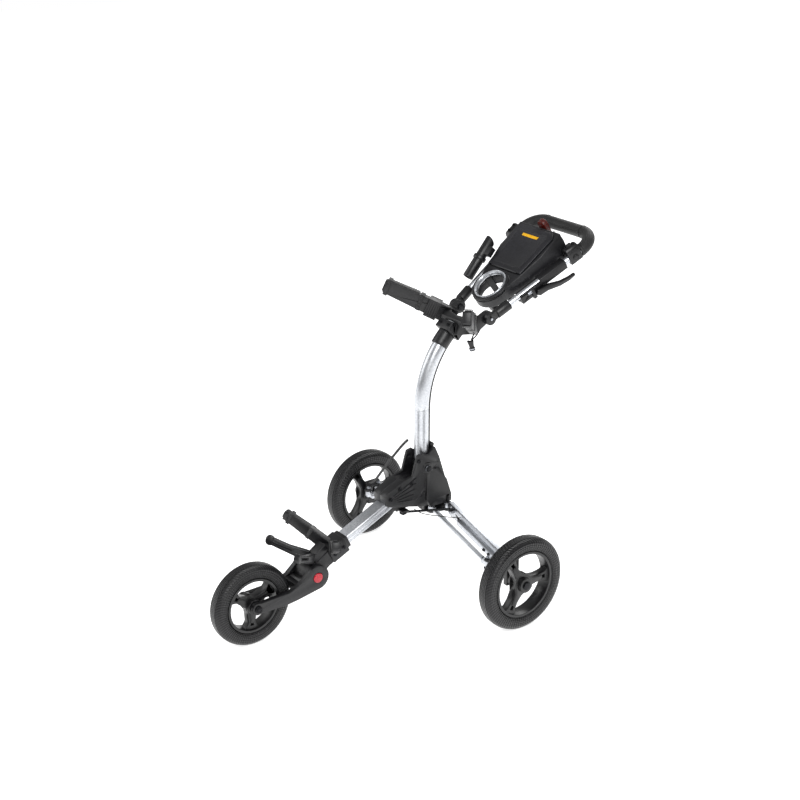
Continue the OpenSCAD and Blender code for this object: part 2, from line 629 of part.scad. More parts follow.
// ---------- Wheels ----------
module tyre(r) rotate([0, 90, 0]) rotate_extrude($fn = 128) difference() {
  translate([r - tyre_t / 2, 0]) union() {
    square([tyre_t, tyre_w - 16], center = true);
    translate([-2, 0]) square([tyre_t - 20, tyre_w], center = true);
    for (s = [-1, 1]) {
      translate([tyre_t / 2 - 12, s * (tyre_w / 2 - 12)]) circle(12, $fn = 40);
      translate([-tyre_t / 2 + 8, s * (tyre_w / 2 - 8)]) circle(8, $fn = 40);
    }
  }
  translate([r - tyre_t - 50, -50]) square([50, 100]);
}
module spoke_outline(ro) difference() {
  polygon([[12, -15], [26, -12.5], [48, -9.5], [ro - 14, -12], [ro - 4, -18], [ro + 1, -20],
    [ro + 1, 20], [ro - 4, 18], [ro - 14, 12], [48, 9.5], [26, 12.5], [12, 15]]);
  polygon([[46, -2.5], [ro - 10, -5.5], [ro - 10, 5.5], [46, 2.5]]);
}
module rim(r) {
  ro = r - tyre_t;
  rotate([0, 90, 0]) difference() {
    union() {
      difference() {
        cylinder(r = ro, h = rim_w, center = true, $fn = 128);
        cylinder(r = ro - rim_ring_t, h = rim_w + 2, center = true, $fn = 128);
      }
      for (k = [0 : 2]) rotate([0, 0, 120 * k + 62]) translate([0, 0, -11]) linear_extrude(22)
        spoke_outline(ro - rim_ring_t + 1);
      cylinder(r = wheel_hub_r, h = wheel_hub_w, center = true);
    }
    cylinder(r = axle_r + run_fit, h = 200, center = true);
  }
}
module front_rim() color([0.12, 0.12, 0.13]) translate([0, -wheelbase, front_r]) rotate([55, 0, 0]) rim(front_r);
module front_tyre() color([0.13, 0.13, 0.14]) translate([0, -wheelbase, front_r]) tyre(front_r);
module rear_rim() color([0.12, 0.12, 0.13]) translate([rear_x, 0, rear_r]) rotate([28, 0, 0]) rim(rear_r);
module rear_tyre() color([0.13, 0.13, 0.14]) translate([rear_x, 0, rear_r]) tyre(rear_r);

// ---------- Rear legs, drawn on the left and mirrored ----------
module sloped(x, y, z) translate([x, y, z]) rotate([0, leg_slope, 0]) children();
module rear_leg() color([0.78, 0.79, 0.8]) difference() {
  union() {
    difference() {
      sloped(leg_x1, 0, leg_z1) translate([0, 0, 0]) rotate([90, 0, 90]) linear_extrude(400)
        rounded(leg_t, leg_h, 3);
      translate([-50, -50, 0]) cube([leg_x1 + 16 + 50, 100, 400]);
      translate([leg_x2 - 16, -50, 0]) cube([200, 100, 400]);
    }
    // Rail that runs along the leg's front face
    difference() {
      sloped(leg_x1, 0, leg_z1) rotate([90, 0, 90]) linear_extrude(400)
        translate([-leg_t / 2 - 4, 11 - leg_h / 2]) rounded(12, 15, 3);
      translate([-50, -50, 0]) cube([leg_x1 + 62 + 50, 100, 400]);
      translate([leg_x2 - 28, -50, 0]) cube([200, 100, 400]);
    }
    // Tongues that reach to the two pivots
    z_cyl(knuckle_r, leg_x1, 0, leg_z1 - knuckle_h / 2, leg_z1 + knuckle_h / 2);
    translate([leg_x1, -leg_t / 2 + 1, leg_z1 - knuckle_h / 2]) cube([20, leg_t - 2, knuckle_h]);
    z_cyl(knuckle_r, leg_x2, 0, leg_z2 - knuckle_h / 2, leg_z2 + knuckle_h / 2);
    translate([leg_x2 - 20, -leg_t / 2 + 1, leg_z2 - knuckle_h / 2]) cube([20, leg_t - 2, knuckle_h]);
    // Lug and pin of the folding strut
    translate([leg_x1 + lug_x - 7, lug_y, strut_z - 12]) cube([14, -lug_y - 4, 6]);
    z_cyl(7, leg_x1 + lug_x, lug_y, strut_z - 12, strut_z - 6);
    z_cyl(strut_pin_r, leg_x1 + lug_x, lug_y, strut_z - 12, strut_z + 5);
  }
  z_cyl(pin_r + run_fit, leg_x1, 0, 150, 300);
  z_cyl(pin_r + run_fit, leg_x2, 0, 100, 250);
}
module rear_link() color([0.76, 0.77, 0.78]) difference() {
  union() {
    difference() {
      sloped(leg_x1 + link_dx, link_dy, leg_z1) rotate([0, 90, 0]) cylinder(r = link_d / 2, h = 400);
      translate([-50, -100, 0]) cube([leg_x1 + link_dx + 12 + 50, 100, 400]);
      translate([leg_x2 + link_dx - 20, -100, 0]) cube([200, 100, 400]);
    }
    z_cyl(link_knuckle_r, leg_x1 + link_dx, link_dy, leg_z1 - knuckle_h / 2, leg_z1 + knuckle_h / 2 - 4);
    translate([leg_x1 + link_dx, link_dy - 4, leg_z1 - knuckle_h / 2 + 1]) cube([16, 8, knuckle_h - 6]);
    z_cyl(link_knuckle_r, leg_x2 + link_dx, link_dy, leg_z2 - knuckle_h / 2, leg_z2 + knuckle_h / 2);
    translate([leg_x2 + link_dx - 24, link_dy - 4, leg_z2 - knuckle_h / 2 + 1]) cube([24, 8, knuckle_h - 2]);
  }
  z_cyl(pin_r + run_fit, leg_x1 + link_dx, link_dy, 150, 300);
  z_cyl(pin_r + run_fit, leg_x2 + link_dx, link_dy, 100, 250);
}
module carrier_plate() polygon([[leg_x2 + link_dx - 4, link_dy - 11], [leg_x2 + link_dx + 5, link_dy - 11],
  [leg_x2 + 24, -22], [leg_x2 + 34, -20], [leg_x2 + 34, 20], [leg_x2 + 18, 16], [leg_x2, 13],
  [leg_x2 - 12, -2], [leg_x2 - 2, -20], [leg_x2 + link_dx - 2, link_dy + 12],
  [leg_x2 + link_dx - 11, link_dy + 2]]);
module rear_carrier() color([0.12, 0.12, 0.13]) difference() {
  union() {
    for (z = [leg_z2 + knuckle_h / 2 + gap, leg_z2 - knuckle_h / 2 - gap - 6]) translate([0, 0, z])
      linear_extrude(6) carrier_plate();
    translate([leg_x2 + 20, -20, rear_r - 18]) cube([14, 40, leg_z2 + knuckle_h / 2 + gap + 6 - rear_r + 18]);
    for (p = [[leg_x2, 0], [leg_x2 + link_dx, link_dy]])
      z_cyl(pin_r, p[0], p[1], leg_z2 - knuckle_h / 2 - gap - 6, leg_z2 + knuckle_h / 2 + gap + 8);
    x_cyl(20, leg_x2 + 20, rear_x - wheel_hub_w / 2 - 1, 0, rear_r);
  }
  x_cyl(axle_r, leg_x2 + 10, rear_x + 100, 0, rear_r);
}
module rear_axle() color("silver") {
  x_cyl(axle_r, leg_x2 + 10, rear_x + wheel_hub_w / 2 + 1, 0, rear_r);
  x_cyl(11, rear_x + wheel_hub_w / 2 + 1, rear_x + wheel_hub_w / 2 + 5, 0, rear_r);
}
// The strut joins the leg's lug to the slider's pin
strut_run = [slide_x - leg_x1 - lug_x, slide_y - lug_y];
strut_len = norm(strut_run);
module rear_strut() color([0.1, 0.1, 0.11]) difference() {
  union() {
    translate([leg_x1 + lug_x, lug_y, strut_z]) rotate([0, 0, atan2(strut_run[1], strut_run[0])])
      rotate([0, 90, 0]) cylinder(r = strut_d / 2, h = strut_len);
    z_cyl(6.5, leg_x1 + lug_x, lug_y, strut_z - 5.5, strut_z + 3);
    z_cyl(10, slide_x, slide_y, strut_z - 4, strut_z + 2);
  }
  z_cyl(strut_pin_r + run_fit, leg_x1 + lug_x, lug_y, 200, 300);
  z_cyl(strut_pin_r + 4, slide_x, slide_y, 200, 300);
}
module slider() color([0.12, 0.12, 0.13]) {
  translate([-26, slide_y - 11, strut_z + 3.8]) cube([52, 22, 244 - gap - strut_z - 3.8]);
  translate([-4, slide_y - 11, 240]) cube([8, 22, 10]);
  translate([-7, slide_y - 11, 248]) cube([14, 22, 5]);
  for (s = [-1, 1]) z_cyl(strut_pin_r, s * slide_x, slide_y, strut_z - 9, strut_z + 6);
}
module leg_cables() color([0.06, 0.06, 0.06]) {
  swept_tube([[20, -100, 240], [30, -92, 231], [42, -80, 226], [58, -64, 224], [76, -50, 224.5],
    [90, -36, 223], [102, -22, 223], [112, -10.5, 222]], 2.4, 6);
  swept_tube([[-23, -88, 420], [-34, -93, 408], [-70, -92, 368], [-124, -82, 314], [-180, -66, 260],
    [-236, -46, 208], [-280, -30, 185]], 6.4, 8);
}
module left_leg() rear_leg();
module right_leg() mirror([1, 0, 0]) rear_leg();
module left_link() rear_link();
module right_link() mirror([1, 0, 0]) rear_link();
module left_carrier() rear_carrier();
module right_carrier() mirror([1, 0, 0]) rear_carrier();
module left_axle() rear_axle();
module right_axle() mirror([1, 0, 0]) rear_axle();
module left_rim() rear_rim();
module right_rim() mirror([1, 0, 0]) rear_rim();
module left_tyre() rear_tyre();
module right_tyre() mirror([1, 0, 0]) rear_tyre();
module left_strut() rear_strut();
module right_strut() mirror([1, 0, 0]) rear_strut();

row() hub_left_shell();
row() hub_right_shell();
row() front_beam();
row() front_rail();
row() lower_bracket();
row() lower_arm_left();
row() lower_arm_right();
row() bag_cradle();
row() fork_pin();
row() mast_pin();
row() leg_pins();
row() mast_tube();
row() mast_foot();
row() mast_collar();
row() upper_bracket();
row() upper_arm_left();
row() upper_arm_right();
row() strap_buckle();
row() bungee_loop();
row() bungee_hook();
row() handle_pins();
row() handle_tube();
row() handle_grip();
row() handle_clamps();
row() handle_feet();
row() console_tray();
row() cup_ring();
row() cup_fingers();
row() umbrella_tube();
row() umbrella_collar();
row() lever_bracket();
row() brake_cable();
row() leg_cables();
row() release_button();
row() tee_post();
row() console_lid();
row() brake_lever();
row() fold_latch();
row() fork();
row() front_axle();
row() fork_button();
row() front_rim();
row() front_tyre();
row() slider();
row() left_leg();
row() left_link();
row() left_carrier();
row() left_axle();
row() left_rim();
row() left_tyre();
row() left_strut();
row() right_leg();
row() right_link();
row() right_carrier();
row() right_axle();
row() right_rim();
row() right_tyre();
row() right_strut();
row() hub_screws();
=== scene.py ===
"""Folding golf push cart: finishes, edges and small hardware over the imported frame."""

from __future__ import annotations

import logging
import math
from collections.abc import Callable, Iterator, Sequence
from contextlib import contextmanager
from dataclasses import dataclass, field
from enum import Enum
from functools import partial

import bpy
from mathutils import Matrix, Vector


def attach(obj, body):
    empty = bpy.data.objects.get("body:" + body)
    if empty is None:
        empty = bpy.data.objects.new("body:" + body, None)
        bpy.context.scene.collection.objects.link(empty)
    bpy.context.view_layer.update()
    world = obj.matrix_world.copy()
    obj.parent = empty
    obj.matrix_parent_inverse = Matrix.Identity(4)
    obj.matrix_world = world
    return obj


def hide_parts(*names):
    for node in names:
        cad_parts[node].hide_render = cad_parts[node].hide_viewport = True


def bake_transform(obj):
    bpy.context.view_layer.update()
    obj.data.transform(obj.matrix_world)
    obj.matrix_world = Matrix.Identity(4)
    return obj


LOG = logging.getLogger("push_cart")
MM = 0.001
# Points of a mesh that are closer than this are one point, in metres
MERGE = 0.00002
# Edges sharper than this are rounded, and softer ones than the next are shaded smooth, in degrees
SHARP_EDGE = 32
SMOOTH_EDGE = 38
Point = tuple[float, float, float]

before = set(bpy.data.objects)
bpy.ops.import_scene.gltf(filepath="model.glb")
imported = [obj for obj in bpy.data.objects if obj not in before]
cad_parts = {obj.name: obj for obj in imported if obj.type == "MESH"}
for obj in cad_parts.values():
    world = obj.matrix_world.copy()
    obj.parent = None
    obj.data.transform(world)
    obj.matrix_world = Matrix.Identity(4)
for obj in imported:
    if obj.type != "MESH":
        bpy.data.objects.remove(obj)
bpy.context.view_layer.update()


def linear(code: str) -> tuple[float, float, float, float]:
    """Turns an sRGB hex colour to linear light.

    Args:
        code: Six hex digits, such as "c9cbce".

    Returns:
        Red, green, blue and an alpha of one.
    """
    parts = [int(code[i : i + 2], 16) / 255 for i in (0, 2, 4)]
    r, g, b = (c / 12.92 if c <= 0.04045 else ((c + 0.055) / 1.055) ** 2.4 for c in parts)
    return (r, g, b, 1.0)


def turned(x: float = 0, y: float = 0, z: float = 0) -> Matrix:
    """A turn about X, then Y, then Z, in degrees."""
    turns = [Matrix.Rotation(math.radians(a), 4, n) for a, n in ((x, "X"), (y, "Y"), (z, "Z"))]
    return turns[2] @ turns[1] @ turns[0]


def moved(x: float, y: float, z: float) -> Matrix:
    """A move, in millimetres."""
    return Matrix.Translation((x * MM, y * MM, z * MM))


# ---------------------------------------------------------------- finishes


class Pattern(Enum):
    """How a surface was made."""

    MOULDED = "moulded"
    DRAWN = "drawn"
    FOAM = "foam"
    TREAD = "tread"
    WOVEN = "woven"
    SMOOTH = "smooth"


@dataclass(frozen=True)
class Finish:
    """One finish, with its colours, gloss and the real size of its pattern.

    The pattern size and depth are in millimetres.
    """

    name: str
    dark: str
    light: str
    slot: str
    pattern: Pattern
    roughness: float
    grain: float
    depth: float
    metallic: float = 0.0
    ior: float = 1.5
    coat: float = 0.0
    sheen: float = 0.0
    along: Point = (1.0, 1.0, 1.0)
    turn: Point = (0.0, 0.0, 0.0)
    centre: Point = (0.0, 0.0, 0.0)

    @staticmethod
    def add(
        tree: bpy.types.NodeTree, kind: str, links: dict | None = None, **settings: object
    ) -> bpy.types.Node:
        """Adds one node.

        Args:
            tree: The material's node tree.
            kind: The node's Blender type name.
            links: Input name or number to a value, or to a (node, output) pair.
            **settings: Properties of the node itself.

        Returns:
            The new node.
        """
        made = tree.nodes.new(kind)
        for name, value in settings.items():
            setattr(made, name, value)
        for key, value in (links or {}).items():
            if isinstance(value, tuple) and len(value) == 2 and isinstance(value[0], bpy.types.Node):
                tree.links.new(value[0].outputs[value[1]], made.inputs[key])
            else:
                made.inputs[key].default_value = value
        return made

    def build(self) -> bpy.types.Material:
        """Makes the material, or returns it if it is there already."""
        found = bpy.data.materials.get(self.name)
        if found is not None:
            return found
        made = bpy.data.materials.new(self.name)
        made.use_nodes = True
        tree = made.node_tree
        tree.nodes.clear()
        add = partial(self.add, tree)
        place = add("ShaderNodeTexCoord")
        spot = add(
            "ShaderNodeMapping",
            {"Vector": (place, "Object"), "Location": tuple(-c * MM for c in self.centre)},
        )
        # Slow drift of tone over a hand's breadth, as on any handled part
        drift = add("ShaderNodeTexNoise", {"Vector": (spot, 0), "Scale": 9.0, "Detail": 3.0})
        speck = add("ShaderNodeTexNoise", {"Vector": (spot, 0), "Scale": 220.0, "Detail": 2.0})
        blend = add(
            "ShaderNodeMath",
            {0: (drift, "Fac"), 1: (speck, "Fac")},
            operation="MULTIPLY",
        )
        ramp = add("ShaderNodeValToRGB", {"Fac": (blend, 0)})
        # The product of the two noises mostly lies between these values
        for stop, place_on, tone in zip(ramp.color_ramp.elements, (0.14, 0.42), (self.dark, self.light)):
            stop.position = place_on
            stop.color = linear(tone)
        height = self.relief(tree, spot)
        wear = add(
            "ShaderNodeMapRange",
            {"Value": (drift, "Fac"), 1: 0.3, 2: 0.7, 3: self.roughness - 0.06, 4: self.roughness + 0.08},
        )
        bump = add(
            "ShaderNodeBump",
            {"Height": (height, 0), "Distance": self.depth * MM, "Strength": 1.0},
        )
        shader = add(
            "ShaderNodeBsdfPrincipled",
            {
                "Base Color": (ramp, "Color"),
                "Roughness": (wear, 0),
                "Metallic": self.metallic,
                "IOR": self.ior,
                "Coat Weight": self.coat,
                "Coat Roughness": 0.12,
                "Sheen Weight": self.sheen,
                "Normal": (bump, 0),
            },
        )
        add("ShaderNodeOutputMaterial", {"Surface": (shader, 0)})
        return made

    def relief(self, tree: bpy.types.NodeTree, spot: bpy.types.Node) -> bpy.types.Node:
        """Adds the height pattern.

        Args:
            tree: The material's node tree.
            spot: The node that gives the place on the piece.

        Returns:
            The node whose first output is the height.
        """
        add = partial(self.add, tree)
        fine = 1 / (self.grain * MM)
        if self.pattern is Pattern.DRAWN:
            # Drawing the tube leaves hairlines along it, much longer than wide
            line = add(
                "ShaderNodeMapping",
                {
                    "Vector": (spot, 0),
                    "Rotation": tuple(math.radians(a) for a in self.turn),
                    "Scale": self.along,
                },
            )
            return add("ShaderNodeTexNoise", {"Vector": (line, 0), "Scale": fine, "Detail": 4.0})
        if self.pattern is Pattern.FOAM:
            cell = add("ShaderNodeTexVoronoi", {"Vector": (spot, 0), "Scale": fine})
            grit = add("ShaderNodeTexNoise", {"Vector": (spot, 0), "Scale": fine * 0.4, "Detail": 4.0})
            return add("ShaderNodeMath", {0: (cell, "Distance"), 1: (grit, "Fac")}, operation="ADD")
        if self.pattern is Pattern.TREAD:
            # Fine rings run round the tread and the walls, broken by short cross cuts
            part = add("ShaderNodeSeparateXYZ", {"Vector": (spot, 0)})
            flat = add("ShaderNodeCombineXYZ", {"Y": (part, "Y"), "Z": (part, "Z")})
            far = add("ShaderNodeVectorMath", {0: (flat, 0)}, operation="LENGTH")
            sum_ = add("ShaderNodeMath", {0: (part, "X"), 1: (far, "Value")}, operation="ADD")
            fast = add("ShaderNodeMath", {0: (sum_, 0), 1: 2 * math.pi * fine}, operation="MULTIPLY")
            ring = add("ShaderNodeMath", {0: (fast, 0)}, operation="SINE")
            angle = add("ShaderNodeMath", {0: (part, "Z"), 1: (part, "Y")}, operation="ARCTAN2")
            many = add("ShaderNodeMath", {0: (angle, 0), 1: 90.0}, operation="MULTIPLY")
            skew = add("ShaderNodeMath", {0: (part, "X"), 1: 900.0, 2: (many, 0)}, operation="MULTIPLY_ADD")
            cut = add("ShaderNodeMath", {0: (skew, 0)}, operation="SINE")
            soft = add("ShaderNodeMath", {0: (cut, 0), 1: 0.9, 2: (ring, 0)}, operation="MULTIPLY_ADD")
            grit = add("ShaderNodeTexNoise", {"Vector": (spot, 0), "Scale": 400.0, "Detail": 2.0})
            return add("ShaderNodeMath", {0: (grit, "Fac"), 1: 0.5, 2: (soft, 0)}, operation="MULTIPLY_ADD")
        if self.pattern is Pattern.WOVEN:
            part = add("ShaderNodeSeparateXYZ", {"Vector": (spot, 0)})
            waves = []
            for one, two in (("X", "Z"), ("Y", "Z")):
                both = add("ShaderNodeMath", {0: (part, one), 1: (part, two)}, operation="ADD")
                fast = add("ShaderNodeMath", {0: (both, 0), 1: 2 * math.pi * fine}, operation="MULTIPLY")
                waves.append(add("ShaderNodeMath", {0: (fast, 0)}, operation="SINE"))
            return add("ShaderNodeMath", {0: (waves[0], 0), 1: (waves[1], 0)}, operation="MULTIPLY")
        # Spark-eroded moulds leave an even grain, with a few soft scuffs over it
        even = {"Vector": (spot, 0), "Scale": fine, "Detail": 3.0, "Roughness": 0.6}
        grain = add("ShaderNodeTexNoise", even)
        scuff = add(
            "ShaderNodeTexNoise",
            {"Vector": (spot, 0), "Scale": fine * 0.11, "Detail": 5.0, "Distortion": 0.6},
        )
        return add(
            "ShaderNodeMath",
            {0: (scuff, "Fac"), 1: 0.5, 2: (grain, "Fac")},
            operation="MULTIPLY_ADD",
        )


# Glass-filled nylon, spark-eroded: near black with a soft, broken shine
NYLON = Finish("moulded_nylon", "08080a", "161619", "black_moulding", Pattern.MOULDED, 0.4, 0.9, 0.05)
# ABS covers of the console, a little greyer and smoother than the nylon
ABS = Finish("moulded_abs", "0d0d0f", "1e1e22", "black_moulding", Pattern.MOULDED, 0.4, 0.7, 0.04)
ABS_LID = Finish("lid_abs", "101013", "232328", "black_moulding", Pattern.MOULDED, 0.38, 0.6, 0.03)
# Polypropylene wheel centres, slightly glossier on the spokes
SPOKES = Finish(
    "moulded_polypropylene", "080809", "151517", "black_moulding", Pattern.MOULDED, 0.32, 1.0, 0.04
)
# Anodised aluminium: bright satin with faint lines along each drawn tube
ALLOY_UP = Finish(
    "anodised_mast", "b9bcc1", "dcdee1", "silver_tube", Pattern.DRAWN, 0.34, 0.5, 0.012, 1.0,
    along=(1, 1, 0.02),
)
ALLOY_BEAM = Finish(
    "anodised_beam", "b2b5ba", "d8dade", "silver_tube", Pattern.DRAWN, 0.36, 0.5, 0.012, 1.0,
    along=(1, 0.02, 1), turn=(-24.6, 0, 0),
)
ALLOY_LEG = Finish(
    "anodised_leg", "b2b5ba", "d8dade", "silver_tube", Pattern.DRAWN, 0.36, 0.5, 0.012, 1.0,
    along=(0.02, 1, 1),
)
ALLOY_HANDLE = Finish(
    "anodised_handle", "b6b9be", "dadce0", "silver_tube", Pattern.DRAWN, 0.33, 0.5, 0.012, 1.0,
    along=(1, 0.02, 1), turn=(-29.6, 0, 0),
)
# Plated steel pins and bolts, turned and tumbled
STEEL = Finish("plated_steel", "8d9096", "b9bcc2", "steel", Pattern.SMOOTH, 0.28, 0.4, 0.01, 1.0)
DARK_STEEL = Finish("blackened_steel", "121214", "26272a", "dark_rod", Pattern.SMOOTH, 0.36, 0.5, 0.015, 0.7)
RING = Finish("satin_ring", "aeb1b6", "dfe1e4", "silver_ring", Pattern.SMOOTH, 0.3, 0.5, 0.01, 0.85)
# Closed-cell EVA: soft, matt, with pores that just show
FOAM = Finish("eva_foam", "0a0a0b", "18181a", "foam_grip", Pattern.FOAM, 0.62, 1.3, 0.14, sheen=0.08)
RUBBER = Finish("pad_rubber", "111112", "202022", "foam_grip", Pattern.FOAM, 0.52, 0.9, 0.06, sheen=0.05)
RED_GLOSS = Finish(
    "red_acetal", "8a0418", "c40a26", "red_button", Pattern.SMOOTH, 0.24, 3.0, 0.004, ior=1.49, coat=0.3
)
RED_MATT = Finish("red_abs", "2c0c08", "661a10", "red_knob", Pattern.MOULDED, 0.34, 0.7, 0.03)
YELLOW = Finish("yellow_inlay", "d99a00", "f2b808", "red_knob", Pattern.SMOOTH, 0.35, 0.8, 0.01)
ELASTIC = Finish("braided_elastic", "08080a", "1a1a1c", "elastic", Pattern.WOVEN, 0.8, 1.2, 0.2, sheen=0.3)
WEBBING = Finish("nylon_webbing", "0a0a0b", "1c1c1e", "elastic", Pattern.WOVEN, 0.74, 1.6, 0.22, sheen=0.25)
SHEATH = Finish("cable_sheath", "08080a", "151517", "cable_sheath", Pattern.SMOOTH, 0.38, 1.0, 0.02)


def tyre_finish(name: str, centre: Point) -> Finish:
    """The foam tyre's finish, centred on its own wheel."""
    return Finish(
        f"foam_tread_{name}", "0a0a0b", "18181a", "foam_tyre", Pattern.TREAD, 0.34, 5.2, 0.4,
        ior=1.42, centre=centre,
    )


# ---------------------------------------------------------------- the bench


class Bench:
    """Modelling by hand with Blender's own tools, one step at a time."""

    @staticmethod
    def take(piece: bpy.types.Object) -> None:
        """Selects one piece alone and makes it active."""
        bpy.ops.object.select_all(action="DESELECT")
        piece.select_set(True)
        bpy.context.view_layer.objects.active = piece

    @staticmethod
    @contextmanager
    def faces(piece: bpy.types.Object, keep: Callable[[bpy.types.MeshPolygon], bool]) -> Iterator[None]:
        """Opens edit mode with some faces selected.

        Args:
            piece: The mesh piece.
            keep: Says of each face whether it is selected.
        """
        Bench.take(piece)
        bpy.ops.object.mode_set(mode="EDIT")
        bpy.ops.mesh.select_mode(type="FACE")
        bpy.ops.mesh.select_all(action="DESELECT")
        bpy.ops.object.mode_set(mode="OBJECT")
        for face in piece.data.polygons:
            face.select = keep(face)
        bpy.ops.object.mode_set(mode="EDIT")
        yield
        bpy.ops.object.mode_set(mode="OBJECT")

    @staticmethod
    def apply(piece: bpy.types.Object, kind: str, **settings: object) -> None:
        """Adds one modifier with its settings and applies it."""
        Bench.take(piece)
        made = piece.modifiers.new(kind.lower(), kind)
        for name, value in settings.items():
            setattr(made, name, value)
        bpy.ops.object.modifier_apply(modifier=made.name)

    @staticmethod
    def soften(piece: bpy.types.Object, width: float, segments: int = 2) -> None:
        """Rounds the sharp edges by a width in millimetres and smooths the shading."""
        Bench.apply(
            piece,
            "BEVEL",
            width=width * MM,
            segments=segments,
            limit_method="ANGLE",
            angle_limit=math.radians(SHARP_EDGE),
            use_clamp_overlap=False,
        )
        Bench.take(piece)
        bpy.ops.object.shade_smooth_by_angle(angle=math.radians(SMOOTH_EDGE))

    @staticmethod
    def settle(piece: bpy.types.Object, place: Matrix) -> None:
        """Moves a piece to its place and leaves its object at the origin.

        Args:
            piece: The mesh piece, made about its own origin.
            place: Where it goes, in the row's frame.
        """
        piece.matrix_world = place @ piece.matrix_world
        Bench.take(piece)
        bpy.ops.object.transform_apply(location=True, rotation=True, scale=True)
        if place.determinant() < 0:
            with Bench.faces(piece, lambda face: True):
                bpy.ops.mesh.normals_make_consistent(inside=False)

    @staticmethod
    def drum(name: str, radius: float, height: float, sides: int = 48) -> bpy.types.Object:
        """A plain cylinder on its base, standing along +Z, in millimetres."""
        bpy.ops.object.select_all(action="DESELECT")
        bpy.ops.mesh.primitive_cylinder_add(
            vertices=sides, radius=radius * MM, depth=height * MM, location=(0, 0, height * MM / 2)
        )
        made = bpy.context.active_object
        made.name = name
        Bench.take(made)
        bpy.ops.object.transform_apply(location=True, rotation=True, scale=True)
        return made

    @staticmethod
    def block(name: str, low: Point, high: Point) -> bpy.types.Object:
        """A plain box between two corners, in millimetres."""
        size = [b - a for a, b in zip(low, high)]
        bpy.ops.object.select_all(action="DESELECT")
        bpy.ops.mesh.primitive_cube_add(
            size=1,
            location=[(a + b) / 2 * MM for a, b in zip(low, high)],
            scale=[s * MM for s in size],
        )
        made = bpy.context.active_object
        made.name = name
        Bench.take(made)
        bpy.ops.object.transform_apply(location=True, rotation=True, scale=True)
        return made

    @staticmethod
    def plate(name: str, outline: Sequence[tuple[float, float]], thick: float) -> bpy.types.Object:
        """A flat plate on XY with any outline, raised along +Z.

        Args:
            name: The piece's name.
            outline: Corners in millimetres, anticlockwise.
            thick: Thickness in millimetres.

        Returns:
            The plate.
        """
        bpy.ops.object.select_all(action="DESELECT")
        bpy.ops.mesh.primitive_circle_add(vertices=len(outline), radius=1, fill_type="NGON")
        made = bpy.context.active_object
        made.name = name
        for corner, (x, y) in zip(made.data.vertices, outline):
            corner.co = (x * MM, y * MM, 0)
        with Bench.faces(made, lambda face: True):
            bpy.ops.mesh.extrude_region_move(TRANSFORM_OT_translate={"value": (0, 0, thick * MM)})
            bpy.ops.mesh.select_all(action="SELECT")
            bpy.ops.mesh.normals_make_consistent(inside=False)
        return made

    @staticmethod
    def join(first: bpy.types.Object, *others: bpy.types.Object) -> bpy.types.Object:
        """Joins pieces into the first one."""
        Bench.take(first)
        for other in others:
            other.select_set(True)
        bpy.ops.object.join()
        return first

    @staticmethod
    def sink(piece: bpy.types.Object, rim: float, deep: float) -> None:
        """Insets the top face and pushes it down, in millimetres."""
        top = max(v.co.z for v in piece.data.vertices)
        with Bench.faces(piece, lambda f: f.normal.z > 0.9 and f.center.z > top - 1e-5):
            bpy.ops.mesh.inset(thickness=rim * MM)
            bpy.ops.mesh.extrude_region_move(TRANSFORM_OT_translate={"value": (0, 0, -deep * MM)})

    @staticmethod
    def raise_top(piece: bpy.types.Object, rim: float, high: float) -> None:
        """Insets the top face and pulls it up, in millimetres."""
        Bench.sink(piece, rim, -high)


def dress(piece: bpy.types.Object, finish: Finish, body: str | None) -> bpy.types.Object:
    """Gives a new piece its finish and its body.

    Args:
        piece: The finished mesh or curve.
        finish: Its finish.
        body: The CAD body that it moves with, or None to leave it on no body.

    Returns:
        The same piece.
    """
    piece.data.materials.clear()
    piece.data.materials.append(finish.build())
    if body is not None:
        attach(piece, body)
    LOG.info("%s on %s in %s", piece.name, body or "two bodies", finish.name)
    return piece


# ---------------------------------------------------------------- the cart's own places


@dataclass(frozen=True)
class Places:
    """The cart's sizes in millimetres, and the frames that its parts are drawn in."""

    shift: float = 134.836
    mast_y: float = -60.0
    pivot_z: float = 350.0
    straight: float = 160.0
    bend_r: float = 268.0
    bend: float = 46.0
    slope: float = 29.6
    spread: float = 9.0
    length: float = 364.0
    lid_slope: float = 8.4
    tube_x: float = 71.5
    rear_x: float = 343.0

    @property
    def top(self) -> tuple[float, float]:
        """Y and Z of the mast's end."""
        a = math.radians(self.bend)
        return (
            self.mast_y + self.bend_r * (1 - math.cos(a)),
            self.pivot_z + self.straight + self.bend_r * math.sin(a),
        )

    def row(self) -> Matrix:
        """The frame whose origin is on the ground under the rear axles."""
        return moved(0, self.shift, 0)

    def handle(self) -> Matrix:
        """The handle's frame, with Y along its tubes."""
        y, z = self.top
        return self.row() @ moved(0, y + 85, z + 42) @ turned(x=self.slope)

    def side(self, s: int) -> Matrix:
        """One side tube's frame; s is 1 on the left and -1 on the right."""
        return self.handle() @ moved(s * self.tube_x, 0, 0) @ turned(z=-s * self.spread)

    def lid(self) -> Matrix:
        """The console lid's frame."""
        return self.handle() @ moved(0, 0, 12) @ turned(x=self.lid_slope)

    def beam(self) -> Matrix:
        """The front beam's frame."""
        return self.row() @ moved(0, -186, 266) @ turned(x=24.6)

    def mirrored(self, s: int) -> Matrix:
        """Nothing on the left, and a mirror on the right."""
        return Matrix.Diagonal((s, 1, 1, 1))

    def upper_arm(self, s: int) -> Matrix:
        """An upper arm's frame, with X along it."""
        y, z = self.top
        return self.mirrored(s) @ self.row() @ moved(50, y + 51, z + 24) @ turned(y=-23.5, z=-45.4)

    def lower_arm(self, s: int) -> Matrix:
        """A lower arm's frame, with X along it."""
        return self.mirrored(s) @ self.row() @ moved(18, -360, 201) @ turned(y=-27.8, z=-28.4)


AT = Places()
SIDE = {1: "left", -1: "right"}


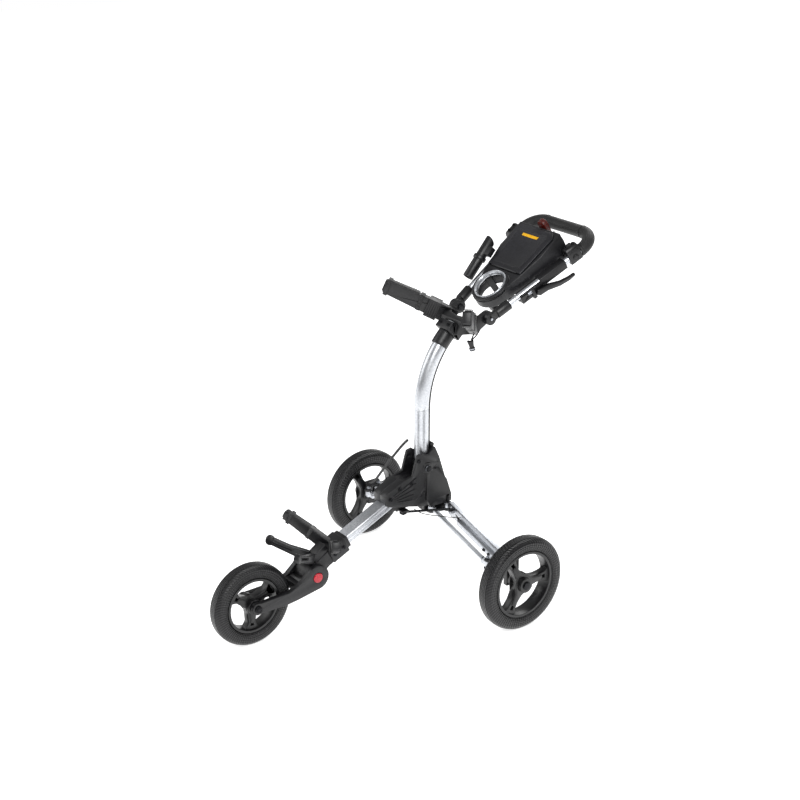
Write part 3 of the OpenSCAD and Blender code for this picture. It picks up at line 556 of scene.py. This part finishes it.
# ---------------------------------------------------------------- hardware


@dataclass
class Hardware:
    """Small fittings that many sub-assemblies share."""

    radius: float = 4.5
    height: float = 3.2

    def bolt(
        self, name: str, place: Matrix, body: str, finish: Finish = STEEL, scale: float = 1.0
    ) -> bpy.types.Object:
        """A washer with a socket-head bolt on it, standing along the place's +Z.

        Args:
            name: The piece's name.
            place: The seat of the washer.
            body: The body that it moves with.
            finish: Its finish.
            scale: Size against the usual bolt.

        Returns:
            The bolt.
        """
        r, h = self.radius * scale, self.height * scale
        made = Bench.drum(name, r * 1.35, 0.9 * scale, 32)
        Bench.raise_top(made, r * 0.36, h)
        Bench.sink(made, r * 0.45, h * 0.7)
        Bench.soften(made, 0.25 * scale)
        Bench.settle(made, place)
        return dress(made, finish, body)

    def cap(
        self, name: str, place: Matrix, body: str, radius: float, high: float, finish: Finish = NYLON
    ) -> bpy.types.Object:
        """A low domed cap with a step round it."""
        made = Bench.drum(name, radius, high, 48)
        Bench.raise_top(made, radius * 0.3, high * 0.2)
        Bench.soften(made, min(high * 0.35, 1.6), 3)
        Bench.settle(made, place)
        return dress(made, finish, body)

    def line(
        self, name: str, points: Sequence[Point], radius: float, body: str | None, finish: Finish
    ) -> bpy.types.Object:
        """A cable along a smooth path.

        Args:
            name: The piece's name.
            points: The path in the row's frame, in metres.
            radius: Radius in millimetres.
            body: The body that it moves with, or None to leave it on no body.
            finish: Its finish.

        Returns:
            The cable, as a mesh.
        """
        curve = bpy.data.curves.new(name, "CURVE")
        curve.dimensions = "3D"
        curve.bevel_depth = radius * MM
        curve.bevel_resolution = 4
        curve.resolution_u = 6
        curve.use_fill_caps = True
        path = curve.splines.new("NURBS")
        path.points.add(len(points) - 1)
        for knot, place in zip(path.points, points):
            knot.co = (*place, 1)
        path.use_endpoint_u = True
        path.order_u = 4
        made = bpy.data.objects.new(name, curve)
        bpy.context.collection.objects.link(made)
        Bench.take(made)
        bpy.ops.object.convert(target="MESH")
        made = bpy.context.active_object
        bpy.ops.object.shade_smooth()
        return dress(made, finish, body)

    def pad(self, name: str, place: Matrix, body: str, size: Point, ribs: int) -> bpy.types.Object:
        """A rubber pad with raised ribs across it.

        Args:
            name: The piece's name.
            place: Its middle, with X along the pad and Z out of it.
            body: The body that it moves with.
            size: Length, width and thickness.
            ribs: How many ribs cross it.

        Returns:
            The pad.
        """
        long, wide, thick = size
        made = Bench.block(name, (-long / 2, -wide / 2, -thick / 2), (long / 2, wide / 2, thick / 2))
        Bench.soften(made, thick * 0.3, 3)
        pitch = long * 0.88 / ribs
        start, side = -long * 0.44, wide * 0.42
        rib = Bench.block(
            f"{name}_rib", (start, -side, thick * 0.35), (start + pitch * 0.5, side, thick * 0.75)
        )
        Bench.soften(rib, 0.35)
        Bench.apply(
            rib,
            "ARRAY",
            count=ribs,
            use_relative_offset=False,
            use_constant_offset=True,
            constant_offset_displace=(pitch * MM, 0, 0),
        )
        Bench.join(made, rib)
        Bench.settle(made, place)
        return dress(made, RUBBER, body)

    def band(
        self, name: str, low: Point, high: Point, axis: str, thick: float, edge: float, segments: int = 2
    ) -> bpy.types.Object:
        """A strap or ring of square outline, open along one axis.

        Args:
            name: The piece's name.
            low: Its lowest corner in millimetres.
            high: Its highest corner.
            axis: The open axis, "x" or "y".
            thick: How thick its wall is.
            edge: How wide its edges are rounded.
            segments: How many flats the rounding has.

        Returns:
            The band, about its own origin.
        """
        made = Bench.block(name, low, high)
        with Bench.faces(made, lambda f: abs(getattr(f.normal, axis)) > 0.9):
            bpy.ops.mesh.delete(type="FACE")
        Bench.apply(made, "SOLIDIFY", thickness=thick * MM, offset=-1)
        Bench.soften(made, edge, segments)
        return made


FIT = Hardware()


@dataclass(frozen=True)
class Rounding:
    """CAD nodes whose shape stays and whose edges are broken, as a mould or a press leaves them."""

    node: str
    body: str
    finish: Finish
    width: float = 0.8

    def build(self) -> bpy.types.Object:
        """Copies the node, merges it, rounds its edges and stands for it."""
        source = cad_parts[self.node]
        made = source.copy()
        made.data = source.data.copy()
        made.name = f"{self.node}_shaped"
        made.parent = None
        made.matrix_world = Matrix.Identity(4)
        for key in list(made.keys()):
            del made[key]
        bpy.context.collection.objects.link(made)
        with Bench.faces(made, lambda face: True):
            bpy.ops.mesh.remove_doubles(threshold=MERGE)
            bpy.ops.mesh.dissolve_limited(angle_limit=math.radians(1.0))
        Bench.soften(made, self.width)
        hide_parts(self.node)
        return dress(made, self.finish, self.body)


@dataclass
class Hub:
    """The folding hub: two moulded shells with ribs, bolts and a latch."""

    body: str = "frame"
    half: float = 27.0

    def build(self) -> None:
        """Makes the hub's pieces."""
        for s in (1, -1):
            Rounding(f"hub_{SIDE[s]}_shell", self.body, NYLON, 1.1).build()
            self.fins(s)
            self.bolts(s)
        Rounding("fold_latch", "latch", NYLON, 1.0).build()
        Rounding("slider", "slider", NYLON, 0.6).build()
        Rounding("mast_pin", self.body, STEEL, 0.8).build()
        Rounding("leg_pins", self.body, DARK_STEEL, 0.5).build()

    def fins(self, s: int) -> None:
        """Raised fins that fan over one shell's flank towards the nose."""
        for k in range(5):
            start, end = (-96 - 3 * k, 330 - 15 * k), (-172 + 4 * k, 296 - 5 * k)
            long = math.hypot(end[0] - start[0], end[1] - start[1])
            fin = Bench.block(f"hub_fin_{SIDE[s]}_{k}", (0, -1.3, -1.5), (long, 1.3, 1.6))
            with Bench.faces(fin, lambda f: f.normal.z > 0.9):
                bpy.ops.mesh.inset(thickness=0.6 * MM)
                bpy.ops.mesh.extrude_region_move(TRANSFORM_OT_translate={"value": (0, 0, 0.5 * MM)})
            Bench.soften(fin, 0.4)
            up = math.degrees(math.atan2(end[1] - start[1], end[0] - start[0]))
            # X runs down the flank and Z points out of the shell
            lean = Matrix(((0, 0, 1, 0), (1, 0, 0, 0), (0, 1, 0, 0), (0, 0, 0, 1))) @ turned(z=up)
            spot = AT.mirrored(s) @ AT.row() @ moved(self.half, start[0], start[1]) @ lean
            Bench.settle(fin, spot)
            dress(fin, NYLON, self.body)

    def bolts(self, s: int) -> None:
        """Socket bolts that close the shells, and the mast pivot's cap."""
        for k, (y, z) in enumerate(((-112, 318), (-180, 290), (-88, 376), (-150, 312))):
            spot = AT.row() @ moved(s * self.half, y, z) @ turned(y=90 * s)
            made = FIT.bolt(f"hub_bolt_{SIDE[s]}_{k}", spot, self.body, DARK_STEEL)
            if s > 0 and k == 0:
                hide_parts("hub_screws")
        spot = AT.row() @ moved(s * (self.half + 5.9), AT.mast_y, AT.pivot_z) @ turned(y=90 * s)
        FIT.cap(f"mast_pivot_cap_{SIDE[s]}", spot, self.body, 9.0, 2.4, DARK_STEEL)


@dataclass
class Wheel:
    """A foam tyre on a three-spoke centre, with a web over its hub."""

    name: str
    body: str
    centre: Point
    radius: float
    turn: float = 28.0
    tyre: float = 36.0
    width: float = 46.0

    def build(self) -> None:
        """Makes the wheel's pieces."""
        self.tread()
        Rounding(f"{self.name}_rim", self.body, SPOKES, 0.5).build()
        for s in (1, -1):
            self.face(s)

    def spot(self, s: int, out: float) -> Matrix:
        """A place on the axle's line, with Z pointing outwards on side s."""
        x, y, z = self.centre
        return AT.row() @ moved(x + s * out, y, z) @ turned(y=90 * s)

    def tread(self) -> None:
        """The tyre, spun from its section, with shoulder grooves."""
        r, half = self.radius, self.width / 2
        low = r - self.tyre + 0.3
        # Distance from the axle, and from the tyre's side: bead, wall, shoulder and its groove
        flank = [
            (low, 7), (low + 4, 2), (low + 11, 0.4), (r - 13, 0.6), (r - 6.5, 3.0), (r - 2.6, 7.4),
            (r - 1.0, 11.0), (r - 2.2, 11.9), (r - 0.5, 12.9),
        ]
        section = [(far, inwards - half) for far, inwards in flank] + [(r, 0)]
        section += [(far, half - inwards) for far, inwards in reversed(flank)]
        made = Bench.plate(f"{self.name}_tread", section, 1.0)
        with Bench.faces(made, lambda f: f.normal.z > -0.9):
            bpy.ops.mesh.delete(type="FACE")
        # The section stands in XY, and the wheel turns about Y
        with Bench.faces(made, lambda f: True):
            bpy.ops.mesh.spin(
                steps=120, angle=math.tau, center=(0, 0, 0), axis=(0, 1, 0), dupli=False, use_auto_merge=True
            )
            bpy.ops.mesh.select_all(action="SELECT")
            bpy.ops.mesh.remove_doubles(threshold=MERGE)
        with Bench.faces(
            made, lambda f: abs(f.normal.dot(self.hoop(f.center))) > 0.98 and len(f.vertices) > 4
        ):
            bpy.ops.mesh.delete(type="FACE")
        with Bench.faces(made, lambda f: True):
            bpy.ops.mesh.normals_make_consistent(inside=False)
        Bench.take(made)
        bpy.ops.object.shade_smooth_by_angle(angle=math.radians(50))
        Bench.settle(made, self.spot(1, 0) @ turned(x=90))
        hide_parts(f"{self.name}_tyre")
        x, y, z = self.centre
        dress(made, tyre_finish(self.name, (x, y + AT.shift, z)), self.body)

    @staticmethod
    def hoop(spot: Vector) -> Vector:
        """The direction round the Y axis at a point."""
        around = Vector((0, 1, 0)).cross(spot)
        return around.normalized() if around.length > 0 else Vector((1, 0, 0))

    def face(self, s: int) -> None:
        """The flat three-armed web that joins the spokes on one side of the wheel."""
        side = "left" if s > 0 else "right"
        reach = (self.radius - self.tyre - 7) / 84
        arm = (
            (-60, 27), (-34, 28), (-19, 33), (-11, 45), (-6, 62), (0, 64),
            (6, 62), (11, 45), (19, 33), (34, 28),
        )
        outline = []
        for k in range(3):
            for step, far in arm:
                a = math.radians(62 + 120 * k + step)
                outline.append((far * reach * math.cos(a) * s, far * reach * math.sin(a)))
        web = Bench.plate(f"{self.name}_web_{side}", outline[::s], 2.2)
        Bench.raise_top(web, 2.2, 0.9)
        Bench.soften(web, 0.5)
        x, y, z = self.centre
        Bench.settle(web, AT.row() @ moved(x + s * 10.8, y, z) @ turned(x=self.turn) @ turned(y=90 * s))
        dress(web, SPOKES, self.body)


@dataclass
class FrontEnd:
    """The front beam, its bracket, the lower arms and the folding fork."""

    def build(self) -> None:
        """Makes the front end's pieces."""
        for node, finish, width in (
            ("front_beam", ALLOY_BEAM, 0.6),
            ("front_rail", ALLOY_BEAM, 0.4),
            ("lower_bracket", NYLON, 1.6),
            ("lower_arm_left", NYLON, 0.8),
            ("lower_arm_right", NYLON, 0.8),
            ("bag_cradle", NYLON, 0.6),
            ("fork_pin", STEEL, 0.5),
        ):
            Rounding(node, "frame", finish, width).build()
        Rounding("fork", "fork", NYLON, 0.9).build()
        Rounding("front_axle", "fork", DARK_STEEL, 1.2).build()
        Rounding("fork_button", "fork_release", RED_GLOSS, 2.0).build()
        for s in (1, -1):
            self.arm(s)
            spot = AT.row() @ moved(s * 45, -600, 110) @ turned(y=90 * s)
            FIT.cap(f"front_axle_cap_{SIDE[s]}", spot, "fork", 8.0, 2.6, DARK_STEEL)
        for k, y in enumerate((-190, -160)):
            for s in (1, -1):
                spot = AT.beam() @ moved(s * 27, y, -2) @ turned(y=90 * s)
                FIT.bolt(f"bracket_bolt_{SIDE[s]}_{k}", spot, "frame", DARK_STEEL, 0.9)
        self.collar()

    def arm(self, s: int) -> None:
        """The pad and the two strap bands on one lower arm."""
        place = AT.lower_arm(s) @ moved(84, 0, 13.6) @ turned(y=3.5)
        FIT.pad(f"lower_pad_{SIDE[s]}", place, "frame", (62, 17, 4), 9)
        for k, x in enumerate((46, 112)):
            name = f"lower_band_{SIDE[s]}_{k}"
            band = FIT.band(name, (x - 5, -11.2, -15.5), (x + 5, 11.2, 16.4), "x", 1.3, 0.4)
            Bench.settle(band, AT.lower_arm(s))
            dress(band, WEBBING, "frame")

    def collar(self) -> None:
        """The clamp ring where the bracket grips the beam."""
        ring = FIT.band("beam_collar", (-23.2, -156, -16.2), (23.2, -138, 16.2), "y", 2.6, 0.9, 3)
        Bench.settle(ring, AT.beam())
        dress(ring, NYLON, "frame")


@dataclass
class Mast:
    """The curved mast, its collar and bracket, the upper arms and the bungee."""

    body: str = "mast"

    def build(self) -> None:
        """Makes the mast's pieces."""
        for node, finish, width in (
            ("mast_tube", ALLOY_UP, 0.4),
            ("mast_foot", NYLON, 1.0),
            ("mast_collar", NYLON, 1.0),
            ("upper_bracket", NYLON, 1.8),
            ("upper_arm_left", NYLON, 0.8),
            ("upper_arm_right", NYLON, 0.8),
            ("strap_buckle", NYLON, 0.5),
            ("handle_pins", STEEL, 0.6),
            ("bungee_hook", NYLON, 0.8),
        ):
            Rounding(node, self.body, finish, width).build()
        self.bungee()
        self.cable()
        for s in (1, -1):
            self.arm(s)
            spot = AT.handle() @ moved(s * 48.5, 0, 0) @ turned(y=-90 * s)
            FIT.cap(f"hinge_cap_{SIDE[s]}", spot, self.body, 9.5, 3.0, DARK_STEEL)
        for k, x in enumerate((-16, 16)):
            y, z = AT.top
            spot = AT.row() @ moved(x, y, z) @ turned(x=-AT.bend) @ moved(0, -27, 14) @ turned(x=90)
            FIT.bolt(f"bracket_front_bolt_{k}", spot, self.body, DARK_STEEL, 0.9)

    def arm(self, s: int) -> None:
        """The pad and the strap bands on one upper arm."""
        place = AT.upper_arm(s) @ moved(140, 0, 21.4) @ turned(y=2.6)
        FIT.pad(f"upper_pad_{SIDE[s]}", place, self.body, (84, 18, 4), 12)
        for k, x in enumerate((88, 182)):
            name = f"upper_band_{SIDE[s]}_{k}"
            band = FIT.band(name, (x - 6, -12, -21), (x + 6, 12, 24), "x", 1.4, 0.5)
            Bench.settle(band, AT.upper_arm(s))
            dress(band, WEBBING, self.body)

    def bungee(self) -> None:
        """The elastic loop that holds a hook under the left side of the bracket."""
        route = [
            (66, 66, 724), (68, 61, 718), (71, 54, 712), (75, 47, 708), (80, 41, 706), (84, 36, 706),
            (88, 37, 708), (89, 43, 712), (87, 51, 716), (84, 59, 721), (81, 66, 726),
        ]
        points = [(x * MM, (y + AT.shift) * MM, z * MM) for x, y, z in route]
        curve = bpy.data.curves.new("bungee_cord", "CURVE")
        curve.dimensions = "3D"
        curve.bevel_depth = 1.8 * MM
        curve.bevel_resolution = 5
        curve.use_fill_caps = True
        path = curve.splines.new("POLY")
        smooth = self.smoothed(points)
        path.points.add(len(smooth) - 1)
        for knot, place in zip(path.points, smooth):
            knot.co = (*place, 1)
        made = bpy.data.objects.new("bungee_cord", curve)
        bpy.context.collection.objects.link(made)
        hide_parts("bungee_loop")
        dress(made, ELASTIC, self.body)
        band = Bench.drum("hook_band", 8.3, 3.0, 40)
        Bench.sink(band, 1.4, 0.5)
        Bench.soften(band, 0.3)
        Bench.settle(band, AT.row() @ moved(83, 34, 706) @ turned(x=12, y=-8) @ moved(0, -2, -26))
        dress(band, STEEL, self.body)
        long = sum((Vector(b) - Vector(a)).length for a, b in zip(smooth, smooth[1:]))
        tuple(smooth[0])

    @staticmethod
    def smoothed(points: Sequence[Point]) -> list[tuple[float, float, float]]:
        """A finer path through the same points, by Catmull-Rom."""
        path = [Vector(p) for p in points]
        ends = [path[0] * 2 - path[1], *path, path[-1] * 2 - path[-2]]
        out: list[tuple[float, float, float]] = []
        for a, b, c, d in zip(ends, ends[1:], ends[2:], ends[3:]):
            for k in range(3):
                t = k / 3
                square, cube = a * 2 - b * 5 + c * 4 - d, b * 3 - a - c * 3 + d
                p = (b * 2 + (c - a) * t + square * t**2 + cube * t**3) / 2
                out.append(tuple(p))
        out.append(tuple(path[-1]))
        return out

    def cable(self) -> None:
        """The brake cable that runs down the back of the mast."""
        # The cable lies on the tube: its own radius and half a millimetre past the tube's
        off, x = 21.5, 0.006
        out = AT.bend_r - off
        points = []
        for a in range(40, -1, -8):
            y = AT.mast_y + AT.bend_r - out * math.cos(math.radians(a))
            z = AT.pivot_z + AT.straight + out * math.sin(math.radians(a))
            points.append((x, (y + AT.shift) * MM, z * MM))
        for z in (470, 440, 416):
            points.append((x, (AT.mast_y + off + AT.shift) * MM, z * MM))
        FIT.line("mast_cable", points, 2.0, self.body, SHEATH)


@dataclass
class Handle:
    """The handle's tubes, foam loop, hinge feet, clamps and brake lever."""

    body: str = "handle"

    def build(self) -> None:
        """Makes the handle's pieces."""
        for node, finish, width in (
            ("handle_tube", ALLOY_HANDLE, 0.4),
            ("handle_grip", FOAM, 1.0),
            ("handle_clamps", NYLON, 1.2),
            ("handle_feet", NYLON, 1.2),
            ("lever_bracket", NYLON, 1.4),
            ("brake_cable", SHEATH, 0.3),
            ("tee_post", NYLON, 0.7),
            ("umbrella_tube", NYLON, 0.6),
            ("umbrella_collar", NYLON, 1.2),
        ):
            Rounding(node, self.body, finish, width).build()
        Rounding("brake_lever", "brake", NYLON, 1.6).build()
        for s in (1, -1):
            for k, y in enumerate((272, 294)):
                spot = AT.side(s) @ moved(0, y, 20) @ moved(0, 0, 12.6)
                FIT.bolt(f"clamp_bolt_{SIDE[s]}_{k}", spot, self.body, DARK_STEEL, 0.8)
            spot = AT.side(s) @ moved(s * 14, 283, 0) @ turned(y=90 * s)
            FIT.cap(f"clamp_cap_{SIDE[s]}", spot, self.body, 9.0, 2.6)
        self.adjuster()

    def adjuster(self) -> None:
        """The knurled barrel where the brake cable enters the lever's bracket."""
        barrel = Bench.drum("cable_adjuster", 4.2, 12, 24)
        with Bench.faces(barrel, lambda f: abs(f.normal.z) < 0.5 and f.index % 2 == 0):
            bpy.ops.mesh.inset(thickness=0.2 * MM, use_individual=True)
            bpy.ops.mesh.extrude_faces_move(TRANSFORM_OT_shrink_fatten={"value": -0.5 * MM})
        Bench.sink(barrel, 1.0, 1.2)
        Bench.soften(barrel, 0.15)
        Bench.settle(barrel, AT.side(1) @ moved(17, 128, 1) @ turned(x=90))
        dress(barrel, STEEL, self.body)


@dataclass
class Console:
    """The console's tray and lid, the cup ring and its fingers, and the red release."""

    body: str = "handle"

    def build(self) -> None:
        """Makes the console's pieces."""
        Rounding("console_tray", self.body, ABS, 2.0).build()
        Rounding("console_lid", "lid", ABS_LID, 1.2).build()
        Rounding("cup_ring", self.body, RING, 0.8).build()
        Rounding("cup_fingers", self.body, NYLON, 0.6).build()
        Rounding("release_button", "console_button", RED_MATT, 1.4).build()
        self.lid_detail()
        self.ring_lip()
        for s in (1, -1):
            spot = AT.lid() @ moved(s * 57, 143, 1.5) @ turned(y=90 * s)
            FIT.cap(f"lid_hinge_cap_{SIDE[s]}", spot, self.body, 3.4, 1.6, DARK_STEEL)

    def lid_detail(self) -> None:
        """The lid's raised panel, its plain yellow inlay and its finger tab."""
        panel = Bench.plate(
            "lid_panel", [(-54, 152), (54, 152), (61, 262), (50, 273), (-50, 273), (-61, 262)], 1.0
        )
        Bench.raise_top(panel, 3.0, 0.8)
        Bench.sink(panel, 2.2, 0.6)
        Bench.soften(panel, 0.35)
        Bench.settle(panel, AT.lid() @ moved(0, 0, 4.2))
        dress(panel, ABS_LID, "lid")
        bar = Bench.plate("lid_inlay", [(-29, 252), (29, 252), (31, 260.5), (-31, 260.5)], 1.4)
        Bench.soften(bar, 0.5)
        Bench.settle(bar, AT.lid() @ moved(0, 0, 5.0))
        dress(bar, YELLOW, "lid")
        tab = Bench.plate("lid_tab", [(-14, 280), (14, 280), (11, 290), (-11, 290)], 3.0)
        Bench.sink(tab, 2.4, 0.8)
        Bench.soften(tab, 0.7)
        Bench.settle(tab, AT.lid() @ moved(0, 0, 1.0))
        dress(tab, ABS_LID, "lid")

    def ring_lip(self) -> None:
        """The rolled lip round the cup ring's top."""
        bpy.ops.object.select_all(action="DESELECT")
        bpy.ops.mesh.primitive_torus_add(
            major_radius=44.4 * MM, minor_radius=1.5 * MM, major_segments=96, minor_segments=14
        )
        lip = bpy.context.active_object
        lip.name = "cup_ring_lip"
        bpy.ops.object.shade_smooth()
        Bench.settle(lip, AT.lid() @ moved(0, 84, 6.6))
        dress(lip, RING, self.body)


@dataclass
class RearLegs:
    """The two rear legs with their links, carriers, struts and cables."""

    front: float = -18.0

    def build(self) -> None:
        """Makes the rear legs' pieces."""
        for s in (1, -1):
            side = SIDE[s]
            for node, body, finish, width in (
                ("leg", "leg", ALLOY_LEG, 0.7),
                ("link", "link", ALLOY_LEG, 0.5),
                ("carrier", "carrier", NYLON, 1.2),
                ("axle", "carrier", DARK_STEEL, 1.2),
                ("strut", "strut", DARK_STEEL, 0.5),
            ):
                Rounding(f"{side}_{node}", f"{side}_{body}", finish, width).build()
            self.caps(s)
        self.cables()

    def caps(self, s: int) -> None:
        """The pivots' bolt heads and the outer axle cap on one side."""
        side = SIDE[s]
        for k, (x, y) in enumerate(((280, 0), (265, -44))):
            spot = AT.row() @ moved(s * x, y, 178.4)
            FIT.bolt(f"{side}_carrier_bolt_{k}", spot, f"{side}_carrier", STEEL, 1.1)
        slope = math.degrees(math.atan2(69, 240))
        for k, x in enumerate((186, 206)):
            spot = AT.mirrored(s) @ AT.row() @ moved(40, 0, 231) @ turned(y=slope) @ moved(x, self.front, -7)
            FIT.bolt(f"{side}_leg_bolt_{k}", spot @ turned(x=90), f"{side}_leg", DARK_STEEL, 0.85)
        spot = AT.row() @ moved(s * (AT.rear_x + 27.6), 0, 127) @ turned(y=90 * s)
        FIT.cap(f"{side}_axle_cap", spot, f"{side}_carrier", 9.0, 1.7, DARK_STEEL)

    def cables(self) -> None:
        """The brake cables that run from the hub to the rear wheels."""
        near = [
            (20, -100, 240), (30, -92, 231), (42, -80, 226), (58, -64, 224), (76, -50, 224.5), (90, -36, 223),
            (102, -22, 223), (112, -10.5, 222),
        ]
        far = [
            (-23, -88, 420), (-34, -93, 408), (-70, -92, 368), (-124, -82, 314), (-180, -66, 260),
            (-236, -46, 208), (-280, -30, 185),
        ]
        for name, side, route, radius in (("near", "left", near, 1.2), ("far", "right", far, 3.6)):
            points = [(x * MM, (y + AT.shift) * MM, z * MM) for x, y, z in route]
            made = FIT.line(f"{name}_leg_cable", points, radius, None, SHEATH)
            if name == "near":
                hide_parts("leg_cables")
            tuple(points[0])
            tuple(points[-1])
            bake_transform(made)


# ---------------------------------------------------------------- the studio


@dataclass
class Studio:
    """A pale floor, soft light and the camera."""

    azimuth: float = 53.5
    elevation: float = 21.5
    distance: float = 3.96
    lens: float = 68.9
    target: Point = (0.0, 0.004836, 0.551)

    def build(self) -> None:
        """Makes the floor, the lights and the camera."""
        self.camera()
        self.floor()
        self.lamp("key_light", (2.6, -1.4, 3.2), 2.0, 110)
        self.lamp("fill_light", (-2.4, -2.6, 2.2), 2.6, 45)
        self.lamp("back_light", (-1.2, 3.0, 2.8), 2.4, 60)
        world = bpy.context.scene.world or bpy.data.worlds.new("studio")
        bpy.context.scene.world = world
        world.use_nodes = True
        self.sky(world.node_tree)
        bpy.context.scene.view_settings.view_transform = "Standard"

    @staticmethod
    def sky(tree: bpy.types.NodeTree) -> None:
        """A white backdrop that lights the cart less than it shows."""
        tree.nodes.clear()
        path = tree.nodes.new("ShaderNodeLightPath")
        seen = tree.nodes.new("ShaderNodeBackground")
        lit = tree.nodes.new("ShaderNodeBackground")
        mix = tree.nodes.new("ShaderNodeMixShader")
        out = tree.nodes.new("ShaderNodeOutputWorld")
        seen.inputs["Color"].default_value = (1, 1, 1, 1)
        lit.inputs["Color"].default_value = (1, 1, 1, 1)
        lit.inputs["Strength"].default_value = 0.35
        tree.links.new(path.outputs["Is Camera Ray"], mix.inputs[0])
        tree.links.new(lit.outputs[0], mix.inputs[1])
        tree.links.new(seen.outputs[0], mix.inputs[2])
        tree.links.new(mix.outputs[0], out.inputs["Surface"])

    def camera(self) -> None:
        """A long lens, slightly above the cart's front left side."""
        a, e = math.radians(self.azimuth), math.radians(self.elevation)
        back = Vector((math.sin(a) * math.cos(e), -math.cos(a) * math.cos(e), math.sin(e)))
        data = bpy.data.cameras.new("studio_camera")
        data.lens = self.lens
        data.sensor_width = 36
        made = bpy.data.objects.new("studio_camera", data)
        bpy.context.collection.objects.link(made)
        made.location = Vector(self.target) + back * self.distance
        made.rotation_euler = (-back).to_track_quat("-Z", "Y").to_euler()
        bpy.context.scene.camera = made

    def floor(self) -> None:
        """A wide pale floor, just under the tyres."""
        bpy.ops.object.select_all(action="DESELECT")
        bpy.ops.mesh.primitive_plane_add(size=24, location=(0, 0, -0.0006))
        made = bpy.context.active_object
        made.name = "studio_floor"
        paper = bpy.data.materials.new("studio_paper")
        paper.use_nodes = True
        shader = paper.node_tree.nodes["Principled BSDF"]
        shader.inputs["Base Color"].default_value = linear("ffffff")
        shader.inputs["Roughness"].default_value = 0.9
        shader.inputs["Emission Color"].default_value = (1, 1, 1, 1)
        shader.inputs["Emission Strength"].default_value = 0.7
        made.data.materials.append(paper)

    @staticmethod
    def lamp(name: str, spot: Point, size: float, watts: float) -> None:
        """A square soft light that faces the cart."""
        data = bpy.data.lights.new(name, "AREA")
        data.size = size
        data.energy = watts
        made = bpy.data.objects.new(name, data)
        bpy.context.collection.objects.link(made)
        made.location = spot
        made.rotation_euler = (Vector((0, 0, 0.45)) - Vector(spot)).to_track_quat("-Z", "Y").to_euler()


@dataclass
class Cart:
    """The whole cart, in the order that its pieces are made."""

    parts: list = field(default_factory=list)

    def build(self) -> None:
        """Makes every sub-assembly."""
        wheels = [Wheel("front", "front_wheel", (0, -600, 110), 110.0, 55.0)]
        wheels += [Wheel(SIDE[s], f"{SIDE[s]}_wheel", (s * AT.rear_x, 0, 127), 127.0) for s in (1, -1)]
        self.parts = [Hub(), FrontEnd(), Mast(), Handle(), Console(), RearLegs(), *wheels]
        for part in self.parts:
            part.build()


def main() -> None:
    """Builds the studio and the cart."""
    logging.basicConfig(level=logging.INFO, format="%(message)s")
    Studio().build()
    Cart().build()


if __name__ == "__main__":
    main()
